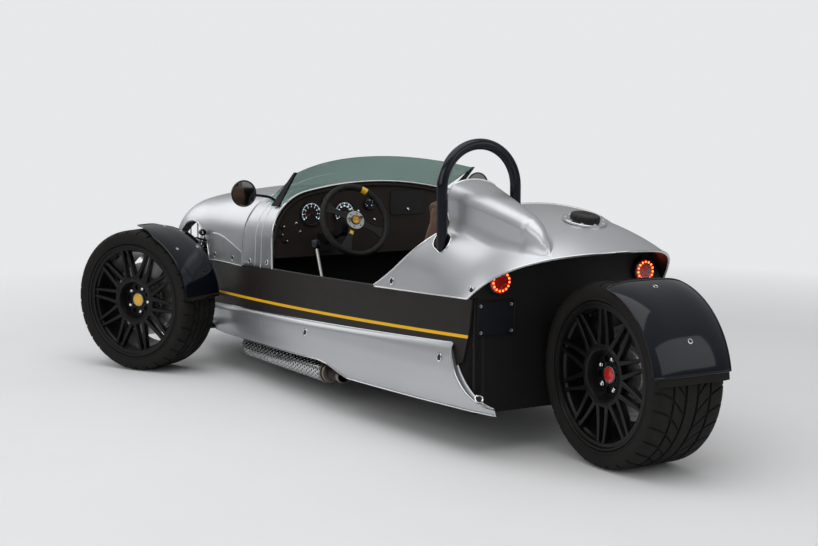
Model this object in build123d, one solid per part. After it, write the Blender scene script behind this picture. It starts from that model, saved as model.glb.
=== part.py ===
from build123d import *
from math import atan2, cos, degrees, hypot, radians, sin, sqrt, tan
import os

# Open three wheeled roadster, two steered wheels in front and one wide wheel behind.
# Millimetres. Stations (x) run forward from the rear axle, y to the left, z up from the road.
# Every piece is moved back by ORIGIN_STATION when it is written, to the middle of the length.

# Whole car
OVERALL_LENGTH = 3658
REAR_FENDER_RADIUS = 335
REAR_FENDER_SETBACK = 10
REAR_OVERHANG = REAR_FENDER_RADIUS + REAR_FENDER_SETBACK
NOSE_STATION = OVERALL_LENGTH - REAR_OVERHANG
ORIGIN_STATION = OVERALL_LENGTH / 2 - REAR_OVERHANG
FRONT_AXLE_STATION = 2594
FRONT_TRACK = 1566
KINGPIN_OFFSET = 60
KINGPIN_Y = FRONT_TRACK / 2 - KINGPIN_OFFSET
STEER_AT_REST = 29.2

# Wheels
FRONT_TYRE_RADIUS = 318.5
FRONT_TYRE_WIDTH = 228
FRONT_FENDER_RADIUS = FRONT_TYRE_RADIUS + 18.5
FRONT_RIM_RADIUS = 254
REAR_TYRE_RADIUS = 318
REAR_TYRE_WIDTH = 292
REAR_RIM_RADIUS = 252
BEAD_RADIUS = 228.6
RIM_WALL = 7
SPOKE_PAIRS = 10
SPOKE_DEPTH = 30
FACE_RECESS = 22
HUB_RING_RADIUS = 108
HUB_DISH_RADIUS = 85
HUB_DISH_DEPTH = 38
HUB_CAP_RADIUS = 28
LUG_CIRCLE_RADIUS = 56
DISC_RADIUS = 165
DISC_THICKNESS = 24
AXLE_RADIUS = 24
RUNNING_FIT = 0.05
SEAT_GAP = 0.3

# Body shell
SHELL_WALL = 6
PANEL_WALL = 8
REAR_HALF_WIDTH = 420
MID_HALF_WIDTH = 489
FRONT_HALF_WIDTH = 452
BULKHEAD_STATION = 350
WIDEST_STATION = 1350
TUB_FRONT_STATION = 2570
ROCKER_FRONT_STATION = 2518
FLOOR_Z = 150
FLOOR_WALL = 8
COCKPIT_REAR_STATION = 618
COCKPIT_CORNER_STATION = 955
COCKPIT_FRONT_STATION = 1830
BONNET_SEAM_STATION = 2200
GRILLE_DEPTH = 33
TAIL_TIP_STATION = 60
TAIL_TIP_Z = 723
DRIVER_Y = 233

# Roll hoop
HOOP_STATION = 600
HOOP_SPAN = 313
HOOP_TUBE = 40
HOOP_TOP_Z = 1096


def arc_middle(start, end, tangent):
    """Middle of the arc that leaves start along tangent and ends at end."""
    chord = end - start
    angle = atan2(chord.X * tangent.Y - chord.Y * tangent.X, chord.dot(tangent))
    left = Vector(-chord.Y, chord.X) / chord.length
    return (start + end) / 2 + left * (chord.length / 2 * tan(angle / 2))


def half_outline(foot_y, foot_z, spring_y, spring_z, top_z):
    """Foot line, then two tangent arcs up to the centreline: points (y, z) and their arc middles."""
    foot = Vector(foot_y, foot_z)
    spring = Vector(spring_y, spring_z)
    top = Vector(0, top_z)
    rise = (spring - foot).normalized()
    flat = Vector(-1, 0)
    span = top - spring
    along = span.dot(rise + flat)
    spread = 1 - rise.dot(flat)
    reach = (sqrt(along ** 2 + 2 * spread * span.dot(span)) - along) / (2 * spread)
    join = (spring + top + (rise - flat) * reach) / 2
    side = arc_middle(spring, join, rise)
    crown = arc_middle(top, join, flat * -1)
    return foot, spring, side, join, crown, top


def body_section(station, foot_y, foot_z, spring_y, spring_z, top_z, centre=0):
    """Closed arch across the car, flat below."""
    points = half_outline(foot_y, foot_z, spring_y, spring_z, top_z)
    left = [Vector(station, centre + p.X, p.Y) for p in points]
    right = [Vector(station, centre - p.X, p.Y) for p in points]
    edges = [Line(right[0], left[0])]
    for side in (left, right):
        edges.append(Line(side[0], side[1]))
        edges.append(ThreePointArc(side[1], side[2], side[3]))
        edges.append(ThreePointArc(side[3], side[4], side[5]))
    return Face(Wire(edges))


def body_loft(table, inset=0, drop=0, centre=0):
    sections = []
    for station, foot_y, foot_z, spring_y, spring_z, top_z in table:
        rise = hypot(spring_y - foot_y, spring_z - foot_z)
        foot_y = foot_y - drop * (spring_y - foot_y) / rise
        foot_z = foot_z - drop * (spring_z - foot_z) / rise
        sections.append(body_section(station, foot_y - inset, foot_z, spring_y - inset,
                                     spring_z, top_z - inset, centre))
    return loft(sections)


def evenly(start, end, rows):
    """Rows of section sizes, each with its station in front, evenly spaced from start to end."""
    step = (end - start) / (len(rows) - 1)
    return tuple((start + step * number, *row) for number, row in enumerate(rows))


def foot_height(table, station):
    """Height of a shell's foot line at a station."""
    for (x0, _, z0, *_), (x1, _, z1, *_) in zip(table, table[1:]):
        if station <= x1:
            break
    return z0 + (z1 - z0) * (station - x0) / (x1 - x0)


def side_prism(outline, y_low, y_high):
    """Side view outline of (x, z) points, carried across from y_low to y_high."""
    face = Plane.XZ * make_face(Polyline(*outline, close=True))
    return Pos(0, y_high, 0) * extrude(face, y_high - y_low)


def tube(start, end, radius, bore=0):
    start = Vector(*start)
    end = Vector(*end)
    plane = Plane(origin=start, z_dir=end - start)
    solid = plane * extrude(Circle(radius), (end - start).length)
    if bore:
        solid = solid - plane * extrude(Circle(bore), (end - start).length)
    return solid


def both_sides(shape):
    return [shape, mirror(shape, about=Plane.XZ)]


def emit(name, *shapes):
    solids = []
    for shape in shapes:
        solids.extend((Pos(-ORIGIN_STATION, 0, 0) * shape).solids())
    export_step(solids[0] if len(solids) == 1 else Compound(children=solids), f"parts/{name}.step")


# Plan curve of the tub's sides: one large arc through three half widths
def plan_arc():
    rear = Vector(BULKHEAD_STATION, REAR_HALF_WIDTH)
    middle = Vector(WIDEST_STATION, MID_HALF_WIDTH)
    front = Vector(TUB_FRONT_STATION, FRONT_HALF_WIDTH)
    arc = ThreePointArc(rear, middle, front)
    return arc.arc_center, arc.radius


PLAN_CENTRE, PLAN_RADIUS = plan_arc()


def half_width(station):
    """Half width of the side panels' outer face at a station."""
    return PLAN_CENTRE.Y + sqrt(PLAN_RADIUS ** 2 - (station - PLAN_CENTRE.X) ** 2)


def side_band(section):
    """Section of (outboard offset, z) points carried along the plan arc of the left side."""
    points = [Vector(PLAN_CENTRE.X, PLAN_CENTRE.Y + PLAN_RADIUS + out, z) for out, z in section]
    face = Face(Wire(Polyline(*points, close=True).edges()))
    axis = Axis((PLAN_CENTRE.X, PLAN_CENTRE.Y, 0), (0, 0, 1))
    sweep_angle = degrees(2 * TUB_FRONT_STATION / PLAN_RADIUS)
    turned = face.rotate(axis, -sweep_angle / 2)
    return revolve(turned, axis, sweep_angle)


# Side panels: dark flat skins between the rocker and the upper shells
PANEL_TOP = ((350, 554), (955, 537), (1790, 511), (2196, 485), (TUB_FRONT_STATION, 474))
PANEL_FOOT_Z = 250


def side_panels():
    outline = list(PANEL_TOP)
    outline += [(TUB_FRONT_STATION, PANEL_FOOT_Z), (560, PANEL_FOOT_Z), (400, 330), (366, 440)]
    band = side_band([(0, 200), (0, 600), (-PANEL_WALL, 600), (-PANEL_WALL, 200)])
    left = band & side_prism(outline, 0, 600)
    return both_sides(left)


# Rocker panels: bulged silver skins outboard of the side panels
ROCKER_SECTION = (
    (SEAT_GAP, 390), (7, 385), (16, 350), (22, 290), (23, 235), (18, 190), (4, 150), (-16, 120),
    (-22, 120), (-4, 155), (11, 196), (16, 235), (15, 285), (10, 320), (SEAT_GAP, 345))
ROCKER_OUTLINE = (
    (ROCKER_FRONT_STATION, 270), (ROCKER_FRONT_STATION - 12, 286), (420, 392), (200, 392), (200, 172),
    (345, 166), (916, 157), (1150, 153), (1286, 190), (1360, 197), (2420, 160), (2470, 168),
    (ROCKER_FRONT_STATION, 200))
ROCKER_TAIL = ((450, 372), (391, 262), (234, 192))
TAIL_CAP_WALL = 8


def rocker_panels():
    """Bulged skin each side; its tail is cut by an arc and closed towards the side panel."""
    filled = side_band([*ROCKER_SECTION[:8], (SEAT_GAP, 120)]) & side_prism(ROCKER_OUTLINE, 0, 600)
    skin = side_band(ROCKER_SECTION) & side_prism(ROCKER_OUTLINE, 0, 600)

    def behind(shift):
        top, middle, tip = [(x + shift, z) for x, z in ROCKER_TAIL]
        face = Plane.XZ * make_face([
            ThreePointArc(top, middle, tip), Line(tip, (tip[0] - 100, tip[1])),
            Line((tip[0] - 100, tip[1]), (tip[0] - 100, 420)), Line((tip[0] - 100, 420), (top[0], 420)),
            Line((top[0], 420), top)])
        return Pos(0, 600, 0) * extrude(face, 600)
    cap = (filled & behind(TAIL_CAP_WALL)) - behind(0)
    return both_sides((skin - behind(0)) + cap)


FLOOR_NOSE = (NOSE_STATION - 303, 360)
JACK_PAD_STATIONS = (700, 2300)
JACK_PAD_SIZE = 90
JACK_PAD_HEIGHT = 10
FLOOR_EDGE_INSET = PANEL_WALL + 2
MUFFLER_NOTCH = (1275, 2460, 372)


def tub_floor():
    """Flat pan between the rockers, with its tunnel, jack pads and the two swingarm brackets."""
    rear, front = BULKHEAD_STATION, ROCKER_FRONT_STATION
    corners = [(x, half_width(x) - FLOOR_EDGE_INSET) for x in (rear, WIDEST_STATION, front)]
    nose_x, nose_y = FLOOR_NOSE
    outline = Face(Wire([
        ThreePointArc(*corners), Line(corners[2], (nose_x, nose_y)),
        Line((nose_x, nose_y), (nose_x, -nose_y)),
        Line((nose_x, -nose_y), (corners[2][0], -corners[2][1])),
        ThreePointArc(*[(x, -y) for x, y in reversed(corners)]),
        Line((corners[0][0], -corners[0][1]), corners[0])]))
    pan = Pos(0, 0, FLOOR_Z) * extrude(outline, FLOOR_WALL, dir=(0, 0, 1))
    notch_rear, notch_front, notch_y = MUFFLER_NOTCH
    notch = Pos(notch_rear, notch_y, FLOOR_Z) * Box(
        notch_front - notch_rear, 200, 100, align=(Align.MIN, Align.MIN, Align.CENTER))
    tunnel = Pos(1250, 0, FLOOR_Z) * Box(1500, 80, 118, align=(Align.CENTER, Align.CENTER, Align.MIN))
    pan = pan - notch + tunnel
    for station in JACK_PAD_STATIONS:
        pan = pan + Pos(station, 0, FLOOR_Z) * Box(
            JACK_PAD_SIZE, JACK_PAD_SIZE, JACK_PAD_HEIGHT, align=(Align.CENTER, Align.CENTER, Align.MAX))
    for y in PIVOT_BRACKETS:
        bracket = Pos(PIVOT_STATION, y, FLOOR_Z) * Box(
            80, 12, REAR_TYRE_RADIUS - FLOOR_Z + 44, align=(Align.CENTER, Align.CENTER, Align.MIN))
        pan = pan + (bracket - swingarm_pivot(SEAT_GAP))
    return pan


def cross_wall(station, thickness, upper):
    """Flat wall across the car from the floor to the underside of an upper shell."""
    seat_z = FLOOR_Z + FLOOR_WALL + SEAT_GAP
    foot_z = foot_height(upper, station)
    width = half_width(station) - PANEL_WALL - 3
    on_floor = (Align.CENTER, Align.CENTER, Align.MIN)
    middle = station + thickness / 2
    lower = Pos(middle, 0, seat_z) * Box(thickness, 2 * width, foot_z - 3 - seat_z, align=on_floor)
    neck = Pos(middle, 0, foot_z - 10) * Box(thickness, 2 * width - 30, 20, align=on_floor)
    slab = Pos(middle, 0, foot_z + 1) * Box(thickness, 1200, 600, align=on_floor)
    return lower + neck + (slab & body_loft(upper, SHELL_WALL + SEAT_GAP, 0))


def bulkheads():
    """Rear bulkhead behind the seats, open where the swingarm passes, and the firewall."""
    rear = cross_wall(BULKHEAD_STATION, 12, REAR_DECK)
    rear = rear - Pos(BULKHEAD_STATION, ARM_Y, REAR_TYRE_RADIUS) * Box(60, ARM_WIDTH + 20, 150)
    firewall = cross_wall(FIREWALL_STATION, 10, COWL)
    return [rear, firewall - tube(MUFFLER_FRONT, MUFFLER_REAR, MUFFLER_RADIUS + 10)]


FIREWALL_STATION = 2175
FRAME_FACE_Y = 354
FRAME_WALL = 10
FRAME_OUTLINE = ((2490, 0), (3008, 0), (3008, 250), (2900, 400), (2560, 400), (2490, 262))


def front_frame():
    """Upright plate each side that carries the wishbones, the rack and the engine mounts."""
    base = FLOOR_Z + FLOOR_WALL + SEAT_GAP
    outline = [(x, base + rise) for x, rise in FRAME_OUTLINE]
    plate = side_prism(outline, FRAME_FACE_Y - FRAME_WALL, FRAME_FACE_Y)
    axle_x = FRONT_AXLE_STATION
    rack_x = FRONT_AXLE_STATION + RACK_AHEAD
    shaft_hole = tube((axle_x, 300, FRONT_TYRE_RADIUS), (axle_x, 400, FRONT_TYRE_RADIUS), 24)
    rack_hole = tube((rack_x, 300, RACK_Z), (rack_x, 400, RACK_Z), RACK_RADIUS + 6)
    return both_sides(plate - shaft_hole - rack_hole)


# Upper shells in evenly spaced sections: foot y, foot z, spring y, spring z, top z
DECK_REAR_STATION = 30
REAR_DECK = evenly(DECK_REAR_STATION, COCKPIT_CORNER_STATION, (
    (322, 592, 316, 598, 716),
    (415, 574, 408, 584, 793),
    (430, 549, 421, 573, 832),
    (446, 544, 440, 607, 847),
    (465, 539, 458, 628, 857),
    (482, 536, 474, 640, 862),
))
FAIRING_TAIL_STATION = 172
HEADREST_STATION = 642
HEADREST_FAIRING = evenly(FAIRING_TAIL_STATION, HEADREST_STATION + 8, (
    (12, 740, 11, 782, 812),
    (70, 740, 66, 826, 898),
    (114, 740, 112, 884, 949),
))
COWL = evenly(COCKPIT_FRONT_STATION, BONNET_SEAM_STATION, (
    (487, 511, 487, 635, 870),
    (462, 486, 452, 616, 838),
))
SEAM_GAP = 3
NOSE_END_STATION = NOSE_STATION - GRILLE_DEPTH
BONNET = evenly(BONNET_SEAM_STATION + SEAM_GAP, NOSE_END_STATION, (
    (462, 485, 452, 616, 838),
    (461, 484, 450, 610, 826),
    (456, 478, 443, 598, 808),
    (449, 464, 437, 574, 784),
    (437, 437, 426, 540, 755),
    (356, 405, 344, 485, 696),
))


def rear_deck():
    outer = body_loft(REAR_DECK)
    inner = body_loft(REAR_DECK, SHELL_WALL, 5)
    tail_cut = Plane.XZ * make_face([
        Line((-100, 730), (TAIL_TIP_STATION, TAIL_TIP_Z)),
        ThreePointArc((TAIL_TIP_STATION, TAIL_TIP_Z), (247, 652), (386, 536)),
        Line((386, 536), (386, 400)), Line((386, 400), (-100, 400)), Line((-100, 400), (-100, 730))])
    tail_cutter = Pos(0, 600, 0) * extrude(tail_cut, 1200)
    mouth = Plane.XZ * make_face([
        Line((COCKPIT_CORNER_STATION + 1, 536), (COCKPIT_CORNER_STATION, 537)),
        ThreePointArc((COCKPIT_CORNER_STATION, 537), (785, 640), (COCKPIT_REAR_STATION, 786)),
        Line((COCKPIT_REAR_STATION, 786), (HEADREST_STATION, 840)),
        Line((HEADREST_STATION, 840), (HEADREST_STATION, 1000)),
        Line((HEADREST_STATION, 1000), (1100, 1000)), Line((1100, 1000), (1100, 536)),
        Line((1100, 536), (COCKPIT_CORNER_STATION + 1, 536))])
    mouth_cutter = Pos(0, 600, 0) * extrude(mouth, 1200)
    corner_z = PANEL_TOP[1][1] + SEAT_GAP
    rear_z = PANEL_TOP[0][1] + SEAT_GAP
    sill = side_prism([(200, 300), (1000, 300), (1000, corner_z - 1), (COCKPIT_CORNER_STATION, corner_z),
                       (BULKHEAD_STATION, rear_z), (200, rear_z + 4)], -600, 600)
    outer = outer - mouth_cutter - tail_cutter - sill
    fairing = body_loft(HEADREST_FAIRING, 0, 0, DRIVER_Y)
    hollow = body_loft(HEADREST_FAIRING[1:], SHELL_WALL, 5, DRIVER_Y)
    shell = (outer + fairing) - inner - hollow
    for leg in (-1, 1):
        shell = shell - tube((HOOP_STATION, DRIVER_Y + leg * HOOP_SPAN / 2, 560),
                             (HOOP_STATION, DRIVER_Y + leg * HOOP_SPAN / 2, 940), HOOP_TUBE / 2 + 1)
    return max(shell.solids(), key=lambda s: s.volume)


def cowl():
    return body_loft(COWL) - body_loft(COWL, SHELL_WALL, 5)


SUSPENSION_CUT = ((2590, 440), (2592, 500), (2632, 549), (2700, 600), (2800, 632), (2880, 637), (2960, 620),
                  (3020, 560), (3020, 440))


def bonnet():
    shell = body_loft(BONNET) - body_loft(BONNET, SHELL_WALL, 5)
    return shell - side_prism(SUSPENSION_CUT, 300, 600) - side_prism(SUSPENSION_CUT, -600, -300)


# Lower nose, drawn upside down: top y, -top z, side y, -side z, -bottom z
NOSE = evenly(BONNET[2][0], NOSE_END_STATION, (
    (456, -486, 446, -420, -150),
    (449, -472, 440, -390, -150),
    (437, -448, 424, -360, -166),
    (356, -420, 342, -350, -262),
))
NOSE_REAR_STATION = FLOOR_NOSE[0] + SEAT_GAP


def nose():
    """Lower half of the nose, from the pan's front edge to the grille, up to the bonnet's foot."""
    shell = body_loft(NOSE) - body_loft(NOSE, SHELL_WALL, 5)
    shell = Rot(180, 0, 0) * shell
    keep = Pos(NOSE_REAR_STATION, 0, 0) * Box(1000, 1200, 1200, align=(Align.MIN, Align.CENTER, Align.CENTER))
    shell = (shell & keep) - body_loft(BONNET, -SEAT_GAP, SEAT_GAP)
    return max(shell.solids(), key=lambda s: s.volume)


GRILLE_HALF = (338, 208)
GRILLE_RIM = 34
GRILLE_Z = 478
GRILLE_BARS = 15
GRILLE_PITCH = 38


def grille():
    """Oval nose ring with upright bars."""
    back = NOSE_END_STATION + SEAT_GAP
    wide, high = GRILLE_HALF
    outer = extrude(Plane.YZ.offset(back) * Ellipse(wide, high), NOSE_STATION - back)
    outer = fillet(outer.edges().sort_by(Axis.X)[-1], 16)
    hole = Plane.YZ.offset(back) * Ellipse(wide - GRILLE_RIM, high - GRILLE_RIM)
    grid = outer - extrude(hole, NOSE_STATION - back)
    for number in range(GRILLE_BARS):
        y = (number - (GRILLE_BARS - 1) / 2) * GRILLE_PITCH
        half = (high - GRILLE_RIM / 2) * sqrt(1 - (y / (wide - GRILLE_RIM / 2)) ** 2)
        grid = grid + Pos(back + 8, y, 0) * Box(8, 5, 2 * half)
    return Pos(0, 0, GRILLE_Z) * grid


def roll_hoop():
    radius = HOOP_SPAN / 2
    spring_z = HOOP_TOP_Z - HOOP_TUBE / 2 - radius
    foot_z = FLOOR_Z + 402
    left = (HOOP_STATION, DRIVER_Y + radius, foot_z)
    path = Wire([
        Line(left, (HOOP_STATION, DRIVER_Y + radius, spring_z)),
        ThreePointArc((HOOP_STATION, DRIVER_Y + radius, spring_z),
                      (HOOP_STATION, DRIVER_Y, spring_z + radius),
                      (HOOP_STATION, DRIVER_Y - radius, spring_z)),
        Line((HOOP_STATION, DRIVER_Y - radius, spring_z), (HOOP_STATION, DRIVER_Y - radius, foot_z))])
    hoop = sweep(Plane(origin=left, z_dir=(0, 0, 1)) * Circle(HOOP_TUBE / 2), path=path)
    reach = half_width(HOOP_STATION - 25) - PANEL_WALL - SEAT_GAP - 1
    cross = Pos(HOOP_STATION, 0, foot_z - 40) * Box(50, 2 * reach, 40)
    return hoop + cross + Pos(HOOP_STATION, DRIVER_Y, foot_z - 10) * Box(50, HOOP_SPAN + 60, 20)


# Seat in the driver's half of the cockpit
CUSHION_HEIGHT = 150
SEAT_BACK_INNER = 180
SEAT_BACK_OUTER = 148
CUSHION_TOP_Z = FLOOR_Z + FLOOR_WALL + SEAT_GAP + CUSHION_HEIGHT


def seat_cushion():
    block = Pos(1000, DRIVER_Y, FLOOR_Z + FLOOR_WALL + SEAT_GAP) * Box(
        520, 370, CUSHION_HEIGHT, align=(Align.CENTER, Align.CENTER, Align.MIN))
    return fillet(block.edges().filter_by(Axis.Z), 50)


def seat_back():
    foot_z = CUSHION_TOP_Z + SEAT_GAP
    outline = ((712, foot_z), (652, 760), (670, 890), (740, 890), (812, 700), (836, foot_z))
    block = side_prism(outline, DRIVER_Y - SEAT_BACK_INNER, DRIVER_Y + SEAT_BACK_OUTER)
    return fillet(block.edges().filter_by(Axis.Y), 18)


def dashboard():
    """Facia just inside the cowl's rear edge, open where the column passes."""
    slab = Pos(COCKPIT_FRONT_STATION + 12, 0, 715) * Box(12, 1100, 320)
    facia = slab & body_loft(COWL, SHELL_WALL + SEAT_GAP, 0)
    return facia - column_place() * Pos(0, 0, -400) * extrude(Circle(20 + SEAT_GAP), 380)


def windscreen():
    """Tinted sheet, bent in plan and raked back."""
    head = (Vector(1700, 430, 923), Vector(1809, 0, 979))
    sight = (Vector(1905, 425, 832), Vector(2020, 0, 862))
    foot = [low + (low - high) * 0.6 for low, high in zip(sight, head)]
    thickness = 5

    def band(side, centre):
        out = (centre - Vector(side.X, 0, side.Z)).normalized() * thickness
        right = Vector(side.X, -side.Y, side.Z)
        return Face(Wire([ThreePointArc(side, centre, right), Line(right, right - out),
                          ThreePointArc(right - out, centre - out, side - out), Line(side - out, side)]))
    sheet = loft([band(*foot), band(*head)], ruled=True) - body_loft(COWL, -SEAT_GAP, 0)
    return max(sheet.solids(), key=lambda s: s.center().Z)


def windscreen_posts():
    """Raked blade at each end of the glass, standing on the cowl."""
    blade = loft([Pos(1915, 430, 770) * Rectangle(70, 9), Pos(1700, 436, 925) * Rectangle(16, 9)], ruled=True)
    blade = blade - body_loft(COWL, -SEAT_GAP, 0)
    return both_sides(max(blade.solids(), key=lambda s: s.volume))


def mirrors():
    head = tube((1895, 584, 831), (1920, 584, 831), 57)
    head = fillet(head.edges().filter_by(GeomType.CIRCLE).sort_by(Axis.X)[-1], 15)
    stalk = tube((1912, 540, 822), (1960, 380, 790), 6) - body_loft(COWL, -SEAT_GAP, 0)
    return both_sides(max((head + stalk).solids(), key=lambda s: s.volume))


def fuel_cap():
    cap = Pos(290, -10, 790) * Rot(0, -6, 0) * extrude(Circle(52), 30)
    return cap - body_loft(REAR_DECK, -SEAT_GAP, 0)


PLATE_PANEL = (246, 404, 421, 544)


def plate_panel():
    """Blank plate on the left of the rear bulkhead."""
    right, left, low, high = PLATE_PANEL
    plate = Pos(BULKHEAD_STATION - SEAT_GAP, (right + left) / 2, (low + high) / 2) * Box(
        7, left - right, high - low, align=(Align.MAX, Align.CENTER, Align.CENTER))
    return fillet(plate.edges().filter_by(Axis.X), 8)


TAIL_LAMP_PLACE = (315, 612)


def tail_lamps():
    """Round lamp on the rear bulkhead, each side, shaped to the deck's underside."""
    y, z = TAIL_LAMP_PLACE
    lamp = tube((BULKHEAD_STATION - SEAT_GAP, y, z), (BULKHEAD_STATION - 34, y, z), 48)
    return both_sides(lamp & body_loft(REAR_DECK, SHELL_WALL + SEAT_GAP, 0))


HEADLAMP_PLACE = (3070, 526, 486)
HEADLAMP_DEPTH = 104
HEADLAMP_RADIUS = 78


def headlamps():
    """Round lamp on a short stalk beside the bonnet, each side."""
    x, y, z = HEADLAMP_PLACE
    lamp = tube((x, y, z), (x + HEADLAMP_DEPTH, y, z), HEADLAMP_RADIUS)
    lamp = fillet(lamp.edges().filter_by(GeomType.CIRCLE).sort_by(Axis.X)[0], 50)
    stalk = tube((x + 40, y, z), (x + 40, y - 200, z), 14)
    lamp = (lamp + stalk) - body_loft(BONNET, -SEAT_GAP, 0)
    return both_sides(max(lamp.solids(), key=lambda s: s.volume))


ENGINE_HALF_WIDTH = 250
ENGINE_HEIGHT = 360


def engine():
    """Transverse engine block with its side mounts."""
    sump_z = RACK_Z + RACK_HOUSING_RADIUS + 5.5
    block = Pos(2750, 0, sump_z) * Box(
        430, 2 * ENGINE_HALF_WIDTH, ENGINE_HEIGHT, align=(Align.CENTER, Align.CENTER, Align.MIN))
    block = fillet(block.edges().filter_by(Axis.Y), 30)
    mount = Pos(2800, 0, 430) * Box(90, 2 * (FRAME_FACE_Y - FRAME_WALL - SEAT_GAP), 60)
    return block + mount


def radiator():
    return Pos(FLOOR_NOSE[0] - 25, 0, FLOOR_Z + FLOOR_WALL + SEAT_GAP) * Box(
        34, 600, 340, align=(Align.CENTER, Align.CENTER, Align.MIN))


MUFFLER_FRONT = (2200, 424, 124)
MUFFLER_REAR = (1400, 430, 132)
MUFFLER_RADIUS = 42
SHIELD_WALL = 3


def exhaust():
    """Front pipe, silencer beside the pan's notch with its hangers, and the open tail pipe."""
    x, y, z = MUFFLER_FRONT
    under = FLOOR_Z - 26 - SEAT_GAP
    can = tube(MUFFLER_FRONT, MUFFLER_REAR, MUFFLER_RADIUS)
    elbow = (2420, 330, under)
    pipe = tube((x - 10, y, z), elbow, 24)
    pipe = pipe + tube((*elbow[:2], under - 24), (*elbow[:2], FLOOR_Z - SEAT_GAP), 24)
    rear_x, rear_y, rear_z = MUFFLER_REAR
    tip = tube((rear_x, rear_y, rear_z), (1285, rear_y, rear_z + 1), 26, 23)
    for station in (1520, 2080):
        can = can + Pos(station, MUFFLER_NOTCH[2] + SEAT_GAP, FLOOR_Z) * Box(
            30, 34, FLOOR_WALL, align=(Align.CENTER, Align.MIN, Align.MIN))
    return can + tip + pipe


def heat_shield():
    """Part round sheet over the silencer's outer and lower sides."""
    front, rear = Vector(*MUFFLER_FRONT), Vector(*MUFFLER_REAR)
    run = (rear - front).normalized()
    bore = MUFFLER_RADIUS + SEAT_GAP
    shield = tube(tuple(front + run * 12), tuple(rear - run * 12), bore + SHIELD_WALL, bore)
    return shield - Pos(1800, MUFFLER_REAR[1] - 110, FLOOR_Z) * Box(1000, 200, 200)


# Front suspension, left side about the kingpin; mirrored for the right
UPPER_JOINT_RISE = 142
LOWER_JOINT_DROP = 130
ARM_PIN_RADIUS = 9
PIVOT_TUBE_RADIUS = 16
COIL_AHEAD = 60


def wishbone(joint_z, inner_z, inner_y, rear_foot, front_foot):
    """One arm: an eye on the kingpin, two legs and the pivot tube that they end in."""
    x, y = FRONT_AXLE_STATION, KINGPIN_Y
    arm = tube((x, y, joint_z - 8), (x, y, joint_z + 8), 20)
    for foot in (rear_foot, front_foot):
        arm = arm + tube((x, y - 8, joint_z), (x + foot, inner_y, inner_z), 11)
    arm = arm + tube((x + rear_foot - 20, inner_y, inner_z), (x + front_foot + 20, inner_y, inner_z),
                     PIVOT_TUBE_RADIUS)
    return arm - tube((x, y, joint_z - 30), (x, y, joint_z + 30), ARM_PIN_RADIUS + RUNNING_FIT)


def control_arms():
    """Upper and lower wishbone of each side; the lower one carries the coilover's plate."""
    z = FRONT_TYRE_RADIUS
    pivot_y = FRAME_FACE_Y + PIVOT_TUBE_RADIUS + SEAT_GAP
    upper = wishbone(z + UPPER_JOINT_RISE + 25, z + UPPER_JOINT_RISE + 32, pivot_y, 24, 190)
    lower_z = FLOOR_Z + FLOOR_WALL + PIVOT_TUBE_RADIUS + SEAT_GAP
    lower = wishbone(z - LOWER_JOINT_DROP - 25, lower_z, pivot_y, -90, 90)
    plate = Pos(FRONT_AXLE_STATION + COIL_AHEAD - 8, 590, z - LOWER_JOINT_DROP - 14) * Box(76, 40, 8)
    return both_sides(upper) + both_sides(lower + plate)


def coilovers():
    """Damper, spring turns and the bracket that carries its head, each side."""
    x = FRONT_AXLE_STATION + COIL_AHEAD
    seat_z = FRONT_TYRE_RADIUS - LOWER_JOINT_DROP - 10 + SEAT_GAP
    foot = Vector(x, 590, seat_z + 8)
    head = Vector(x, 462, 600)
    run = (head - foot).normalized()
    unit = tube(tuple(foot), tuple(head), 19)
    unit = unit + tube((x, 590, seat_z), (x, 590, foot.Z + 12), 15)
    for number in range(8):
        start = foot + run * (172 + 29 * number)
        unit = unit + tube(tuple(start), tuple(start + run * 11), 29)
    hold = foot + (head - foot) * 0.82
    unit = unit + tube(tuple(hold), (FRONT_AXLE_STATION + 146, FRAME_FACE_Y - 10, 530), 10)
    return both_sides(unit - Pos(x, 0, 400) * Box(600, 2 * (FRAME_FACE_Y + SEAT_GAP), 600))


def driveshafts():
    z = FRONT_TYRE_RADIUS
    inner_face = ENGINE_HALF_WIDTH + SEAT_GAP
    outer_face = KINGPIN_Y - 73
    shaft = tube((FRONT_AXLE_STATION, inner_face, z), (FRONT_AXLE_STATION, outer_face - 10, z), 14)
    inner = tube((FRONT_AXLE_STATION, inner_face, z), (FRONT_AXLE_STATION, 338, z), 48)
    outer = tube((FRONT_AXLE_STATION, outer_face - 60, z), (FRONT_AXLE_STATION, outer_face, z), 42)
    return both_sides(shaft + inner + outer)


CALIPER_INNER = 118
CALIPER_OUTER = 200
CALIPER_SPAN = (-42, -25, -8)
CALIPER_FACES = (18, 94)
CALIPER_WALL = 14


def caliper():
    """Bridge over the disc's upper rear rim, with a wall each side of the disc."""
    rear, middle, front = CALIPER_SPAN

    def polar(radius, angle):
        return (radius * sin(radians(angle)), radius * cos(radians(angle)))

    outline = make_face([
        ThreePointArc(*[polar(CALIPER_OUTER, a) for a in (front, middle, rear)]),
        Line(polar(CALIPER_OUTER, rear), polar(CALIPER_INNER, rear)),
        ThreePointArc(*[polar(CALIPER_INNER, a) for a in (rear, middle, front)]),
        Line(polar(CALIPER_INNER, front), polar(CALIPER_OUTER, front))])
    inner_y, outer_y = CALIPER_FACES
    block = Pos(0, outer_y, 0) * extrude(Plane.XZ * outline, outer_y - inner_y)
    return block - tube((0, inner_y + CALIPER_WALL + 4, 0), (0, outer_y - CALIPER_WALL, 0), DISC_RADIUS + 5)


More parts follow.
